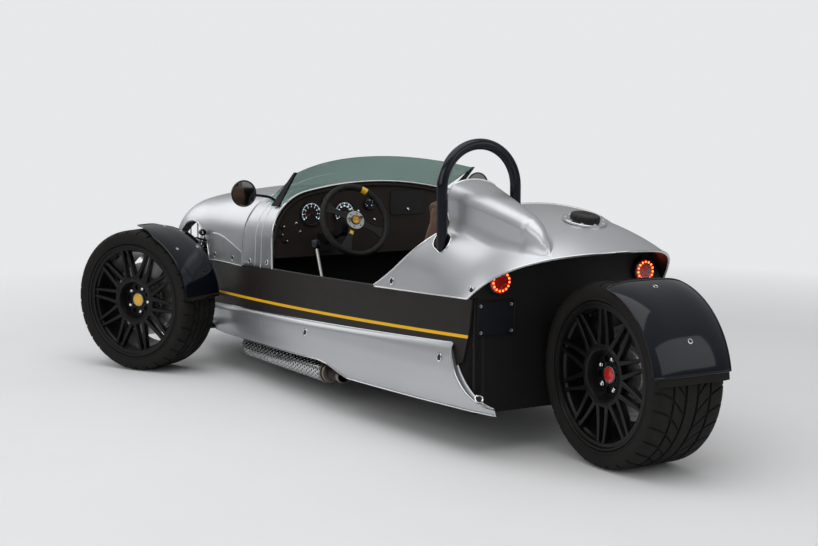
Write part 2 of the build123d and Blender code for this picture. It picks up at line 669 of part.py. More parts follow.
def knuckle():
    """Left knuckle about the kingpin axis: origin on the axis at wheel centre height."""
    carrier = tube((0, -38, 0), (0, 38, 0), 55)
    body = carrier
    for rise in (UPPER_JOINT_RISE, -LOWER_JOINT_DROP):
        sign = 1 if rise > 0 else -1
        web = Pos(0, -4, sign * (abs(rise) / 2 + 12)) * Box(44, 34, abs(rise) - 34)
        stud = tube((0, 0, sign * (abs(rise) - 12)), (0, 0, sign * (abs(rise) + 38)), ARM_PIN_RADIUS)
        body = body + web + stud
    steer_arm = Pos(75, -14, -36) * Box(110, 26, 14)
    mount = side_prism(((0, 50), (0, 128), (-46, 130), (-92, 90), (-60, 50)), -21, 32)
    body = body + steer_arm + mount + caliper()
    return body - tube((0, -60, 0), (0, 60, 0), AXLE_RADIUS + RUNNING_FIT)


FENDER_WALL = 4
FENDER_INNER_Y = -FRONT_TYRE_WIDTH / 2 - 10.5
FENDER_PLAN = (
    (-168, 125), (-10, 55), (15, 40), (15, -140), (-205, -140), (-240, -112), (-500, -112), (-500, 125))


def front_fender():
    """Cycle fender about the wheel centre, over the top and rear of the tyre, with its stay."""
    outer, half = FRONT_FENDER_RADIUS, FRONT_TYRE_WIDTH / 2
    ring = tube((0, FENDER_INNER_Y, 0), (0, half, 0), outer, outer - FENDER_WALL)
    plan = Face(Wire(Polyline(*FENDER_PLAN, close=True).edges()))
    above = side_prism(((100, -42), (100, 500), (-500, 500), (-500, 40), (0, -10)), -300, 300)
    cover = extrude(plan, 500, dir=(0, 0, 1)) & above
    shell = ring & cover
    plate_outline = ((-60, 78), (-150, 360), (-205, 360), (-205, 150), (-120, 78))
    inner_face = FENDER_INNER_Y + 5
    side = side_prism(plate_outline, FENDER_INNER_Y, inner_face) & tube((0, -200, 0), (0, 200, 0), outer - 1)
    strap = side_prism(((-120, 78), (0, 78), (0, 106), (-80, 140)), FENDER_INNER_Y, inner_face)
    web_face = -21 - KINGPIN_OFFSET - SEAT_GAP
    pad = side_prism(((-20, 78), (0, 78), (0, 104), (-20, 104)), FENDER_INNER_Y, web_face)
    return shell + side + strap + pad


def turned(profile):
    """Profile of (y, radius) points turned about the axle."""
    points = [Vector(0, y, radius) for y, radius in profile]
    return revolve(Face(Wire(Polyline(*points, close=True).edges())), Axis.Y, 360)


def tyre(outer, width, lip):
    """Tyre about its own centre, axle along y."""
    half = width / 2
    bead = half - 14
    side = [(bead, BEAD_RADIUS), (bead, lip + 1.5), (half, outer - 28), (half - 20, outer)]
    return turned(side + [(-y, r) for y, r in reversed(side)])


def wheel_point(radius, angle, y=0):
    return (radius * sin(radians(angle)), y, radius * cos(radians(angle)))


def rim(width, lip, phase):
    """Rim about its own centre: barrel, lip, ten pairs of spokes, hub ring and dished hub."""
    half = width / 2
    bead = half - 14 + SEAT_GAP
    seat = BEAD_RADIUS - SEAT_GAP
    face_y = half - FACE_RECESS
    wall = RIM_WALL
    barrel = turned([
        (-bead - wall, lip), (-bead, lip), (-bead, seat), (bead, seat), (bead, lip), (bead + wall, lip),
        (bead + wall, seat - wall), (half - 60, seat - wall - 8), (-bead - wall, seat - wall - 4)])
    hub = tube((0, face_y - HUB_DISH_DEPTH - 14, 0), (0, face_y, 0), HUB_RING_RADIUS)
    hub = hub - tube((0, face_y - HUB_DISH_DEPTH, 0), (0, face_y + 1, 0), HUB_DISH_RADIUS)
    dish_y = face_y - HUB_DISH_DEPTH
    hub = hub + tube((0, dish_y - 1, 0), (0, dish_y + 12, 0), HUB_CAP_RADIUS)
    spokes = []
    pitch = 360 / SPOKE_PAIRS
    for pair in range(SPOKE_PAIRS):
        for side in (-1, 1):
            inner_angle = phase + pair * pitch + side * (pitch / 2 - 4)
            outer_angle = phase + pair * pitch + side * 3.4
            foot = Vector(*wheel_point(HUB_RING_RADIUS - 8, inner_angle))
            head = Vector(*wheel_point(seat - wall - 1, outer_angle))
            across = (head - foot).cross(Vector(0, 1, 0)).normalized()
            corners = [foot + across * 9, head + across * 6, head - across * 6, foot - across * 9]
            face = Face(Wire(Polyline(*corners, close=True).edges()))
            spokes.append(Pos(0, face_y - SPOKE_DEPTH, 0) * extrude(face, SPOKE_DEPTH, dir=(0, 1, 0)))
    return (barrel + hub).fuse(*spokes)


def disc(width):
    """Brake disc with its hat and the stub axle that turns in the carrier."""
    half = width / 2
    back = half - FACE_RECESS - HUB_DISH_DEPTH - 14 - SEAT_GAP
    hat = tube((0, DISC_THICKNESS / 2 - 1, 0), (0, back, 0), 75)
    plate = tube((0, -DISC_THICKNESS / 2, 0), (0, DISC_THICKNESS / 2, 0), DISC_RADIUS)
    axle = tube((0, -95, 0), (0, 0, 0), AXLE_RADIUS)
    return hat + plate + axle


def steered(shape, side):
    """Place a left side piece, drawn about the kingpin, on one side at its angle of rest."""
    if side < 0:
        shape = mirror(shape, about=Plane.XZ)
    return Pos(FRONT_AXLE_STATION, side * KINGPIN_Y, FRONT_TYRE_RADIUS) * Rot(0, 0, STEER_AT_REST) * shape


ARM_Y = -212
ARM_WIDTH = 44
PIVOT_STATION = 430
PIVOT_BRACKETS = (-330, 160)


ARM_OUTLINE = ((-120, 26), (-40, 62), (60, 66), (PIVOT_STATION + 30, 48))


def swingarm_pivot(gap=0):
    """Pivot tube through both brackets of the pan."""
    right, left = PIVOT_BRACKETS
    z = REAR_TYRE_RADIUS
    return tube((PIVOT_STATION, right - 10, z), (PIVOT_STATION, left + 12, z), 28 + gap)


def swingarm():
    """Single arm on the right side, from its pivot in the tub to the hub carrier of the rear wheel."""
    z = REAR_TYRE_RADIUS
    outline = [(x, z + rise) for x, rise in ARM_OUTLINE]
    outline += [(x, z - rise) for x, rise in reversed(ARM_OUTLINE)]
    beam = side_prism(outline, ARM_Y - ARM_WIDTH / 2, ARM_Y + ARM_WIDTH / 2)
    carrier = tube((0, ARM_Y, z), (0, -40, z), 60)
    arm = beam + carrier + swingarm_pivot()
    return arm - tube((0, -300, z), (0, 0, z), AXLE_RADIUS + RUNNING_FIT)


def rear_shock():
    """Inclined damper and spring between the arm and the rear bulkhead."""
    foot = Vector(150, ARM_Y, REAR_TYRE_RADIUS + 64)
    head = Vector(BULKHEAD_STATION - 16, ARM_Y, 530)
    run = (head - foot).normalized()
    unit = tube(tuple(foot + run * 8), tuple(head - run * 6), 14)
    for number in range(5):
        start = foot + run * (60 + 26 * number)
        unit = unit + tube(tuple(start), tuple(start + run * 10), 26)
    unit = unit + Pos(BULKHEAD_STATION - 14 - SEAT_GAP, ARM_Y, 530) * Box(28, 40, 30)
    unit = unit + tube(tuple(foot), tuple(foot + run * 20), 12)
    return unit - swingarm()


def rear_fender():
    """Wrap over the rear tyre from its top to axle height, with a short straight skirt."""
    outer, wall, half = REAR_FENDER_RADIUS, 4, 162
    centre = (-REAR_FENDER_SETBACK, REAR_TYRE_RADIUS - 6)
    x, z = centre
    ring = tube((x, -half, z), (x, half, z), outer, outer - wall)
    shell = ring & side_prism(((x, z), (x - 113, z + 640), (-700, z + 640), (-700, z)), -300, 300)
    stay = side_prism(((-350, z + 14), (-340, z + 120), (-84, z + 36), (-84, z - 18)), -half - 5, -half)
    arm_face = ARM_Y + ARM_WIDTH / 2 + SEAT_GAP
    pad = side_prism(((-112, z - 16), (-112, z + 30), (-84, z + 30), (-84, z - 16)), arm_face, -half)
    return shell + (stay & tube((x, -300, z), (x, 300, z), outer - 1)) + pad


def steering_wheel():
    """Rim and spokes about the column axis, z towards the driver."""
    ring = Torus(146, 13)
    spokes = Box(292, 24, 6) + Pos(0, -73, 0) * Box(28, 146, 6)
    boss = extrude(Circle(38), 14) + Pos(0, 0, -40) * extrude(Circle(22), 42)
    return ring + spokes + boss


COLUMN_TILT = 22
WHEEL_CENTRE = (1560, DRIVER_Y, 727)


def column_place():
    return Pos(*WHEEL_CENTRE) * Rot(0, -(90 - COLUMN_TILT), 0) * Rot(0, 0, -90)


def steering_column():
    shaft = Pos(0, 0, -330) * extrude(Circle(20), 290 - SEAT_GAP)
    column = column_place() * (shaft + Pos(0, 0, -90) * Box(70, 60, 60))
    foot_x = COCKPIT_FRONT_STATION + 6 - SEAT_GAP
    foot = Pos(foot_x, DRIVER_Y, 615) * Box(26, 70, 76, align=(Align.MAX, Align.CENTER, Align.CENTER))
    return column + foot


def controls():
    panel_face = half_width(1480) - PANEL_WALL - SEAT_GAP - 0.2
    lever = tube((1500, 400, 400), (1600, 395, 640), 7)
    lever = lever + tube((1590, 395, 616), (1606, 394, 656), 16)
    lever = lever + side_prism(((1480, 380), (1480, 402), (1520, 402), (1520, 380)), 390, panel_face)
    pedals = []
    for y in (170, 290):
        hanger = tube((FIREWALL_STATION - SEAT_GAP, y, 420), (FIREWALL_STATION - 40, y, 420), 10)
        arm = tube((FIREWALL_STATION - 34, y, 420), (2080, y, 230), 8)
        pedals.append(hanger + arm + Pos(2078, y, 240) * Rot(0, 20, 0) * Box(8, 70, 80))
    return [lever] + pedals


RACK_Z = FRONT_TYRE_RADIUS - 60
RACK_AHEAD = 108
RACK_RADIUS = 12
RACK_HOUSING_RADIUS = 26
RACK_SHIFT = RACK_AHEAD * sin(radians(STEER_AT_REST))


def rack_housing():
    x = FRONT_AXLE_STATION + RACK_AHEAD
    reach = FRAME_FACE_Y - FRAME_WALL - SEAT_GAP
    return tube((x, -reach, RACK_Z), (x, reach, RACK_Z), RACK_HOUSING_RADIUS, RACK_RADIUS + RUNNING_FIT)


def steering_rack():
    """Rack bar and both tie rods, moved across to the left by the angle of rest."""
    x = FRONT_AXLE_STATION + RACK_AHEAD
    bar = tube((x, -420 + RACK_SHIFT, RACK_Z), (x, 420 + RACK_SHIFT, RACK_Z), RACK_RADIUS)
    for side in (-1, 1):
        bar = bar + tube((x, side * 419 + RACK_SHIFT, RACK_Z), (x, side * 706 + RACK_SHIFT, RACK_Z), 8)
    return bar


def build():
    os.makedirs("parts", exist_ok=True)
    emit("side_panels", *side_panels())
    emit("rocker_panels", *rocker_panels())
    emit("tub_floor", tub_floor())
    emit("bulkheads", *bulkheads())
    emit("rear_deck", rear_deck())
    emit("cowl", cowl())
    emit("bonnet", bonnet())
    emit("nose", nose())
    emit("grille", grille())
    emit("front_frame", *front_frame())
    emit("roll_hoop", roll_hoop())
    emit("seat_cushion", seat_cushion())
    emit("seat_back", seat_back())
    emit("dashboard", dashboard())
    emit("windscreen", windscreen())
    emit("windscreen_posts", *windscreen_posts())
    emit("mirrors", *mirrors())
    emit("fuel_cap", fuel_cap())
    emit("tail_lamps", *tail_lamps())
    emit("plate_panel", plate_panel())
    emit("headlamps", *headlamps())
    emit("engine", engine())
    emit("radiator", radiator())
    emit("exhaust", exhaust())
    emit("heat_shield", heat_shield())
    emit("control_arms", *control_arms())
    emit("coilovers", *coilovers())
    emit("driveshafts", *driveshafts())
    emit("rack_housing", rack_housing())
    emit("swingarm", swingarm())
    emit("rear_shock", rear_shock())
    emit("rear_fender", rear_fender())
    emit("steering_column", steering_column())
    emit("controls", *controls())
    emit("steering_rack", steering_rack())
    emit("steering_wheel", column_place() * steering_wheel())
    to_wheel = Pos(0, KINGPIN_OFFSET, 0)
    front_rim = rim(FRONT_TYRE_WIDTH, FRONT_RIM_RADIUS, 12.3)
    front_tyre = tyre(FRONT_TYRE_RADIUS, FRONT_TYRE_WIDTH, FRONT_RIM_RADIUS)
    for name, side in (("left", 1), ("right", -1)):
        emit(f"knuckle_{name}", steered(knuckle(), side))
        emit(f"fender_front_{name}", steered(to_wheel * front_fender(), side))
        emit(f"tyre_front_{name}", steered(to_wheel * front_tyre, side))
        emit(f"rim_front_{name}", steered(to_wheel * front_rim, side))
        emit(f"disc_front_{name}", steered(to_wheel * disc(FRONT_TYRE_WIDTH), side))
    rear_place = Pos(0, 0, REAR_TYRE_RADIUS)
    emit("tyre_rear", rear_place * tyre(REAR_TYRE_RADIUS, REAR_TYRE_WIDTH, REAR_RIM_RADIUS))
    emit("rim_rear", rear_place * rim(REAR_TYRE_WIDTH, REAR_RIM_RADIUS, 0))
    emit("disc_rear", rear_place * disc(REAR_TYRE_WIDTH))


build()
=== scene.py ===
"""Looks of an open three wheeled roadster: two steered wheels in front, one wide wheel behind.

Shapes are drawn in millimetres, with stations counted forward from the rear axle, as the car's
construction is, and carried to the row frame in metres by CAR and the wheels' own matrices.
"""

from math import atan2, copysign, cos, exp, hypot, pi, radians, sin, sqrt, tau

import bmesh
import bpy
from mathutils import Matrix, Vector


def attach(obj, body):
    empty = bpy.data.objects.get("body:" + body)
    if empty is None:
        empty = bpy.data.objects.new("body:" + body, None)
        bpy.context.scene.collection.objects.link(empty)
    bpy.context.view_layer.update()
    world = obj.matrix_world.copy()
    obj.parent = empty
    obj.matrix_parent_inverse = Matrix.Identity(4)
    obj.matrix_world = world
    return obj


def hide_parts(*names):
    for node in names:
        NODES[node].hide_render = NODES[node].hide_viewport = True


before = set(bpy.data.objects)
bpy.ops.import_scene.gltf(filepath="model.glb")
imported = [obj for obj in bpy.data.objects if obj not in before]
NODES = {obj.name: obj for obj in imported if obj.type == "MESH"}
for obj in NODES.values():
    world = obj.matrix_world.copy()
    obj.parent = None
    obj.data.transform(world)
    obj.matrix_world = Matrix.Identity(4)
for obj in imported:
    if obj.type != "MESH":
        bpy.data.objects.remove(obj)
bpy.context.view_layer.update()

MM = 0.001
ORIGIN_STATION = 1484.0
STEER_AT_REST = radians(29.2)
DRIVER_Y = 233.0
CAR = Matrix.Translation((-ORIGIN_STATION * MM, 0, 0)) @ Matrix.Scale(MM, 4)
UPRIGHT = Matrix.Rotation(pi / 2, 4, "X")
# Outlines drawn in side view (x, z) and carried along y, or in end view (y, z) and carried along x
SIDE_VIEW = Matrix(((1, 0, 0, 0), (0, 0, 1, 0), (0, 1, 0, 0), (0, 0, 0, 1)))
END_VIEW = Matrix(((0, 0, 1, 0), (1, 0, 0, 0), (0, 1, 0, 0), (0, 0, 0, 1)))


# ---- finishes


class Signal:
    """A value on its way through a finish: arithmetic on it adds Math nodes."""

    def __init__(self, finish, socket):
        self.finish = finish
        self.socket = socket

    def maths(self, operation, *values):
        return self.finish.node("ShaderNodeMath", {"operation": operation}, dict(enumerate(values)))

    def __add__(self, other):
        return self.maths("ADD", self, other)

    def __sub__(self, other):
        return self.maths("SUBTRACT", self, other)

    def __mul__(self, other):
        return self.maths("MULTIPLY", self, other)

    def __truediv__(self, other):
        return self.maths("DIVIDE", self, other)

    def __gt__(self, other):
        return self.maths("GREATER_THAN", self, other)

    def __abs__(self):
        return self.maths("ABSOLUTE", self)

    def band(self, centre, half, soft):
        """1 within half of the centre, falling to 0 over soft."""
        return self.finish.ramp((abs(self - centre) - half) / soft, ((0, 1), (1, 0)))


class Finish:
    """One material: a Principled surface whose changing values come from node expressions."""

    def __init__(self, name, colour, roughness, metallic=0.0, **fixed):
        self.material = bpy.data.materials.new(name)
        self.material.use_nodes = True
        self.tree = self.material.node_tree
        self.surface = self.tree.nodes["Principled BSDF"]
        self.coords = self.tree.nodes.new("ShaderNodeTexCoord")
        self.set("Base Color", (*colour, 1.0))
        self.set("Roughness", roughness)
        self.set("Metallic", metallic)
        for key, value in fixed.items():
            self.set(key.replace("_", " "), value)

    def feed(self, socket, value):
        if isinstance(value, Signal):
            self.tree.links.new(value.socket, socket)
        else:
            socket.default_value = value

    def set(self, name, value):
        self.feed(self.surface.inputs[name], value)
        return self

    def node(self, kind, settings=None, inputs=None, output=0):
        made = self.tree.nodes.new(kind)
        for key, value in (settings or {}).items():
            if key == "stops":
                stops = made.color_ramp.elements
                while len(stops) < len(value):
                    stops.new(0.5)
                for stop, (where, shade) in zip(stops, value):
                    stop.position = where
                    stop.color = shade
            else:
                setattr(made, key, value)
        for key, value in (inputs or {}).items():
            self.feed(made.inputs[key], value)
        return Signal(self, made.outputs[output])

    @property
    def point(self):
        return Signal(self, self.coords.outputs["Object"])

    def axis(self, letter):
        """One coordinate of the surface point, in metres."""
        return self.node("ShaderNodeSeparateXYZ", None, {0: self.point}, "XYZ".index(letter))

    def stretched(self, by=(1, 1, 1)):
        return self.node("ShaderNodeVectorMath", {"operation": "MULTIPLY"}, {0: self.point, 1: by})

    def noise(self, scale, detail=3.0, rough=0.5, stretch=(1, 1, 1)):
        return self.node("ShaderNodeTexNoise", None, {
            "Vector": self.stretched(stretch), "Scale": scale, "Detail": detail, "Roughness": rough})

    def cells(self, scale, feature="F1"):
        return self.node("ShaderNodeTexVoronoi", {"feature": feature},
                         {"Vector": self.stretched(), "Scale": scale})

    def ramp(self, value, stops):
        """Value through straight runs between (where, height) stops, from 0 to 1."""
        shades = [(where, (high, high, high, 1)) for where, high in stops]
        return self.node("ShaderNodeValToRGB", {"stops": shades}, {0: value})

    def between(self, low, high, value):
        """A number that goes from low to high with the value."""
        return value * (high - low) + low

    def blend(self, mask, first, second):
        """Colour that goes from first to second with the mask."""
        pair = [shade if isinstance(shade, Signal) else (*shade, 1.0) for shade in (first, second)]
        return self.node("ShaderNodeMix", {"data_type": "RGBA"}, {0: mask, 6: pair[0], 7: pair[1]}, 2)

    def mottled(self, dark, light, scale, detail, rough=0.5):
        """Base colour that drifts from dark to light."""
        return self.set("Base Color", self.blend(self.noise(scale, detail, rough), dark, light))

    def worn(self, low, high, scale, detail):
        """Roughness that drifts from low to high."""
        return self.set("Roughness", self.between(low, high, self.noise(scale, detail)))

    def relief(self, height, depth, strength=1.0):
        """Bump of the height, depth millimetres deep."""
        self.set("Normal", self.node("ShaderNodeBump", None, {
            "Height": height, "Distance": depth * MM, "Strength": strength}))
        return self


def silver_paint():
    f = Finish("satin silver paint", (0.56, 0.575, 0.6), 0.34, 0.8, Coat_Weight=0.3, Coat_Roughness=0.16)
    flake = f.cells(2600)
    f.mottled((0.5, 0.52, 0.552), (0.565, 0.573, 0.587), 3.2, 2)
    f.worn(0.3, 0.4, 14, 4)
    return f.relief(flake, 0.02, 0.25).material


def worn_edge_metal(name, colour, roughness, streak=(1, 1, 1), depth=0.04):
    f = Finish(name, colour, roughness, 1.0)
    brushed = f.noise(420, 4, 0.6, streak)
    f.set("Roughness", f.between(roughness * 0.75, min(1.0, roughness * 1.35), brushed))
    dark = [c * 0.78 for c in colour]
    f.mottled(dark, colour, 30, 4)
    return f.relief(brushed, depth, 0.5).material


def gloss_black():
    f = Finish("gloss black paint", (0.008, 0.010, 0.015), 0.12, 0.0, Specular_IOR_Level=0.2,
               Coat_Weight=0.25, Coat_Roughness=0.03)
    f.mottled((0.002, 0.003, 0.007), (0.005, 0.007, 0.012), 5, 3)
    f.worn(0.07, 0.14, 24, 5)
    return f.relief(f.noise(260, 2), 0.006, 0.2).material


def satin_black(name="satin black", shade=0.008, roughness=0.42, metallic=0.1, grain=900):
    f = Finish(name, (shade,) * 3, roughness, metallic, Specular_IOR_Level=0.28)
    f.mottled((shade * 0.8, shade * 0.78, shade * 0.76), (shade * 1.3, shade * 1.27, shade * 1.22), 26, 4)
    f.worn(roughness - 0.07, roughness + 0.1, 60, 4)
    return f.relief(f.noise(grain, 2), 0.05, 0.5).material


STRIPE_FRONT = (2459, 342)
STRIPE_SLOPE = 77 / 2043
STRIPE_HALF, STRIPE_SOFT = 5.6, 0.4
# Normal and station on the same side of the car, past this, are the panel's outer face
OUTWARD = 0.1


def panel_with_stripe():
    """Charcoal brown skin with one thin yellow line along it."""
    f = Finish("charcoal brown panel", (0.03, 0.023, 0.02), 0.42, 0.0, Specular_IOR_Level=0.2)
    brown = f.blend(f.noise(9, 4), (0.011, 0.0086, 0.0076), (0.018, 0.0138, 0.0118))
    run = f.axis("X") * STRIPE_SLOPE + f.axis("Z")
    start_x, start_z = STRIPE_FRONT
    height = (start_x - ORIGIN_STATION) * MM * STRIPE_SLOPE + start_z * MM
    sideways = f.node("ShaderNodeSeparateXYZ", None, {0: Signal(f, f.coords.outputs["Normal"])}, 1)
    stripe = run.band(height, STRIPE_HALF * MM, STRIPE_SOFT * MM) * (sideways * f.axis("Y") > OUTWARD)
    f.set("Base Color", f.blend(stripe, brown, (0.86, 0.47, 0.008)))
    f.worn(0.36, 0.5, 40, 4)
    return f.relief(f.noise(1500, 2) * 0.5 + stripe * 0.5, 0.12, 0.6).material


def rubber():
    f = Finish("tyre rubber", (0.02, 0.019, 0.018), 0.72, Specular_IOR_Level=0.22)
    f.mottled((0.0055, 0.0052, 0.005), (0.013, 0.0115, 0.010), 18, 5, 0.6)
    f.worn(0.6, 0.86, 120, 4)
    return f.relief(f.noise(1100, 3), 0.12, 0.6).material


def turned_disc():
    f = Finish("turned brake disc", (0.42, 0.41, 0.4), 0.34, 1.0)
    f.mottled((0.34, 0.33, 0.32), (0.5, 0.49, 0.48), 40, 4)
    f.worn(0.25, 0.45, 300, 3)
    return f.relief(f.noise(500, 3), 0.05, 0.6).material


def leather(name, dark, light, scale=420.0, roughness=0.5):
    f = Finish(name, light, roughness, 0.0, Specular_IOR_Level=0.25)
    grain = f.cells(scale, "DISTANCE_TO_EDGE")
    crease = f.ramp(grain, ((0, 0), (0.18, 1)))
    f.set("Base Color", f.blend(crease * 0.7 + f.noise(12, 4) * 0.3, dark, light))
    f.worn(roughness - 0.1, roughness + 0.12, 50, 4)
    return f.relief(crease, 0.35, 0.6).material


def clear_glass(name, colour):
    f = Finish(name, colour, 0.02, 0.0, Transmission_Weight=0.9, IOR=1.45)
    f.mottled(colour, [min(1.0, c * 1.04) for c in colour], 3, 2)
    return f.material


def red_lens():
    f = Finish("red lamp lens", (0.5, 0.012, 0.008), 0.12, 0.0, Coat_Weight=1.0, Coat_Roughness=0.03)
    ribs = f.cells(160)
    f.set("Base Color", f.blend(ribs, (0.62, 0.02, 0.01), (0.30, 0.006, 0.004)))
    return f.relief(ribs, 0.8, 0.7).material


def glow(name, colour, strength):
    f = Finish(name, colour, 0.3, 0.0, Emission_Strength=strength)
    f.set("Emission Color", f.blend(f.noise(90, 2), colour, [min(1.0, c * 1.15 + 0.01) for c in colour]))
    return f.material


def plastic(name, colour, roughness=0.45):
    f = Finish(name, colour, roughness, Specular_IOR_Level=0.3)
    dark = [c * 0.8 for c in colour]
    f.mottled(dark, colour, 30, 4)
    f.worn(roughness - 0.06, roughness + 0.1, 90, 3)
    return f.relief(f.noise(1400, 2), 0.06, 0.5).material


def cast_metal(name, colour, roughness=0.5, metallic=0.9):
    f = Finish(name, colour, roughness, metallic)
    dark = [c * 0.7 for c in colour]
    f.mottled(dark, colour, 24, 5)
    f.worn(roughness - 0.08, roughness + 0.14, 70, 4)
    return f.relief(f.noise(700, 4), 0.25, 0.7).material


def enamel(name, colour):
    f = Finish(name, colour, 0.25, 0.0, Coat_Weight=0.8, Coat_Roughness=0.08)
    f.mottled([c * 0.9 for c in colour], colour, 120, 3)
    return f.material


def carpet_pile():
    f = Finish("black carpet", (0.006, 0.006, 0.006), 0.95, 0.0, Specular_IOR_Level=0.1, Sheen_Weight=0.1)
    pile = f.noise(900, 4, 0.7)
    f.set("Base Color", f.blend(pile, (0.0035, 0.0035, 0.0035), (0.012, 0.0115, 0.011)))
    return f.relief(pile, 0.8, 0.8).material


SILVER = silver_paint()
# Darker grey for thin sheets on the bonnet's flanks: a painted reflection, laid where the flanks show a dark
# reflection
FLANK_REFLECTION_GREY = cast_metal("grey flank sheet, painted reflection", (0.43, 0.44, 0.455), 0.36, 0.8)
BLACK_GLOSS = gloss_black()
BLACK_SATIN = satin_black()
BLACK_PAN = satin_black("black pan coating", 0.006, 0.6, 0.0, 500)
BLACK_FRAME = satin_black("black frame coating", 0.009, 0.48, 0.2, 700)
RIM_BLACK = satin_black("satin black wheel paint", 0.0075, 0.3, 0.3, 1200)
PANEL = panel_with_stripe()
RUBBER = rubber()
DISC = turned_disc()
CHROME = worn_edge_metal("polished chrome", (0.78, 0.79, 0.8), 0.07, depth=0.01)
EDGE_METAL = worn_edge_metal("rolled silver edge", (0.7, 0.71, 0.72), 0.2, depth=0.01)
STEEL = worn_edge_metal("brushed steel", (0.5, 0.49, 0.47), 0.28, (1, 8, 8))
EXHAUST = worn_edge_metal("heated exhaust steel", (0.3, 0.27, 0.24), 0.36)
ALLOY = cast_metal("cast alloy", (0.5, 0.5, 0.49), 0.42)
IRON = cast_metal("dark casting", (0.075, 0.073, 0.07), 0.52, 0.6)
CORE = cast_metal("cooler core", (0.09, 0.09, 0.09), 0.5, 0.7)
BROWN_LEATHER = leather("brown seat leather", (0.052, 0.027, 0.017), (0.135, 0.073, 0.045))
BLACK_LEATHER = leather("black grip leather", (0.003, 0.003, 0.003), (0.009, 0.0086, 0.008), 700, 0.46)
DASH_LEATHER = leather("dark brown facia", (0.009, 0.006, 0.0048), (0.022, 0.0155, 0.012), 520, 0.55)
TINTED_GLASS = clear_glass("green tinted screen", (0.5, 0.67, 0.61))
LENS_GLASS = clear_glass("clear lamp lens", (0.97, 0.98, 1.0))
RED_LENS = red_lens()
RED_GLOW = glow("lit red lamps", (1.0, 0.09, 0.012), 7.0)
SPRING_PAINT = enamel("black spring enamel", (0.02, 0.02, 0.022))
YELLOW = enamel("yellow enamel", (0.82, 0.44, 0.015))
RED = enamel("red enamel", (0.55, 0.012, 0.01))
DIAL_FACE = plastic("black dial face", (0.005, 0.005, 0.006), 0.5)
LIT_INK = glow("lit dial marks", (0.72, 0.86, 1.0), 0.9)
CARPET = carpet_pile()
BLACK_PLASTIC = plastic("black moulding", (0.008, 0.008, 0.0085))
PLATE = plastic("bare dark plate", (0.008, 0.0095, 0.013), 0.36)
# Near-black silencer: its colour is darkened as painted shade, for the shade under the pierced shield
SILENCER_PAINTED_SHADE = cast_metal("silencer, painted shade", (0.035, 0.031, 0.027), 0.5, 0.7)

NODE_FINISH = (
    (SILVER, "rear_deck cowl bonnet nose rocker_panels"),
    (PANEL, "side_panels"),
    (BLACK_PAN, "tub_floor bulkheads"),
    (BLACK_FRAME, "front_frame control_arms swingarm"),
    (CHROME, "grille mirrors heat_shield"),
    (BLACK_SATIN, "windscreen_posts steering_column"),
    (BLACK_GLOSS, "fuel_cap roll_hoop fender_front_left fender_front_right rear_fender headlamps"),
    (BROWN_LEATHER, "seat_cushion seat_back"),
    (DASH_LEATHER, "dashboard"),
    (TINTED_GLASS, "windscreen"),
    (RED_LENS, "tail_lamps"),
    (PLATE, "plate_panel"),
    (IRON, "engine driveshafts"),
    (ALLOY, "knuckle_left knuckle_right rack_housing controls"),
    (CORE, "radiator"),
    (STEEL, "steering_rack coilovers rear_shock"),
    # the silencer's near-black colour is painted shade
    (SILENCER_PAINTED_SHADE, "exhaust"),
    (BLACK_LEATHER, "steering_wheel"),
    (RUBBER, "tyre_front_left tyre_front_right tyre_rear"),
    (RIM_BLACK, "rim_front_left rim_front_right rim_rear"),
    (DISC, "disc_front_left disc_front_right disc_rear"),
)
for finish, node_names in NODE_FINISH:
    for node_name in node_names.split():
        for material_slot in NODES[node_name].material_slots:
            material_slot.material = finish


# ---- drawing meshes


def around(count):
    """Angles that share out a full turn."""
    return [k * tau / count for k in range(count)]


def polar(radius, angle, y=0.0):
    """A point about the y axis, its angle counted from z towards x."""
    return Vector((radius * sin(angle), y, radius * cos(angle)))


def aimed(where, along):
    """What is drawn up the y axis, stood at a place and pointed along a direction."""
    return Matrix.Translation(where) @ Vector(along).to_track_quat("Y", "Z").to_matrix().to_4x4()


def scaled(profile, tall, wide):
    """A (height, radius) profile at another size."""
    return [(h * tall, r * wide) for h, r in profile]


# Points nearer than this become one
WELD = 0.02


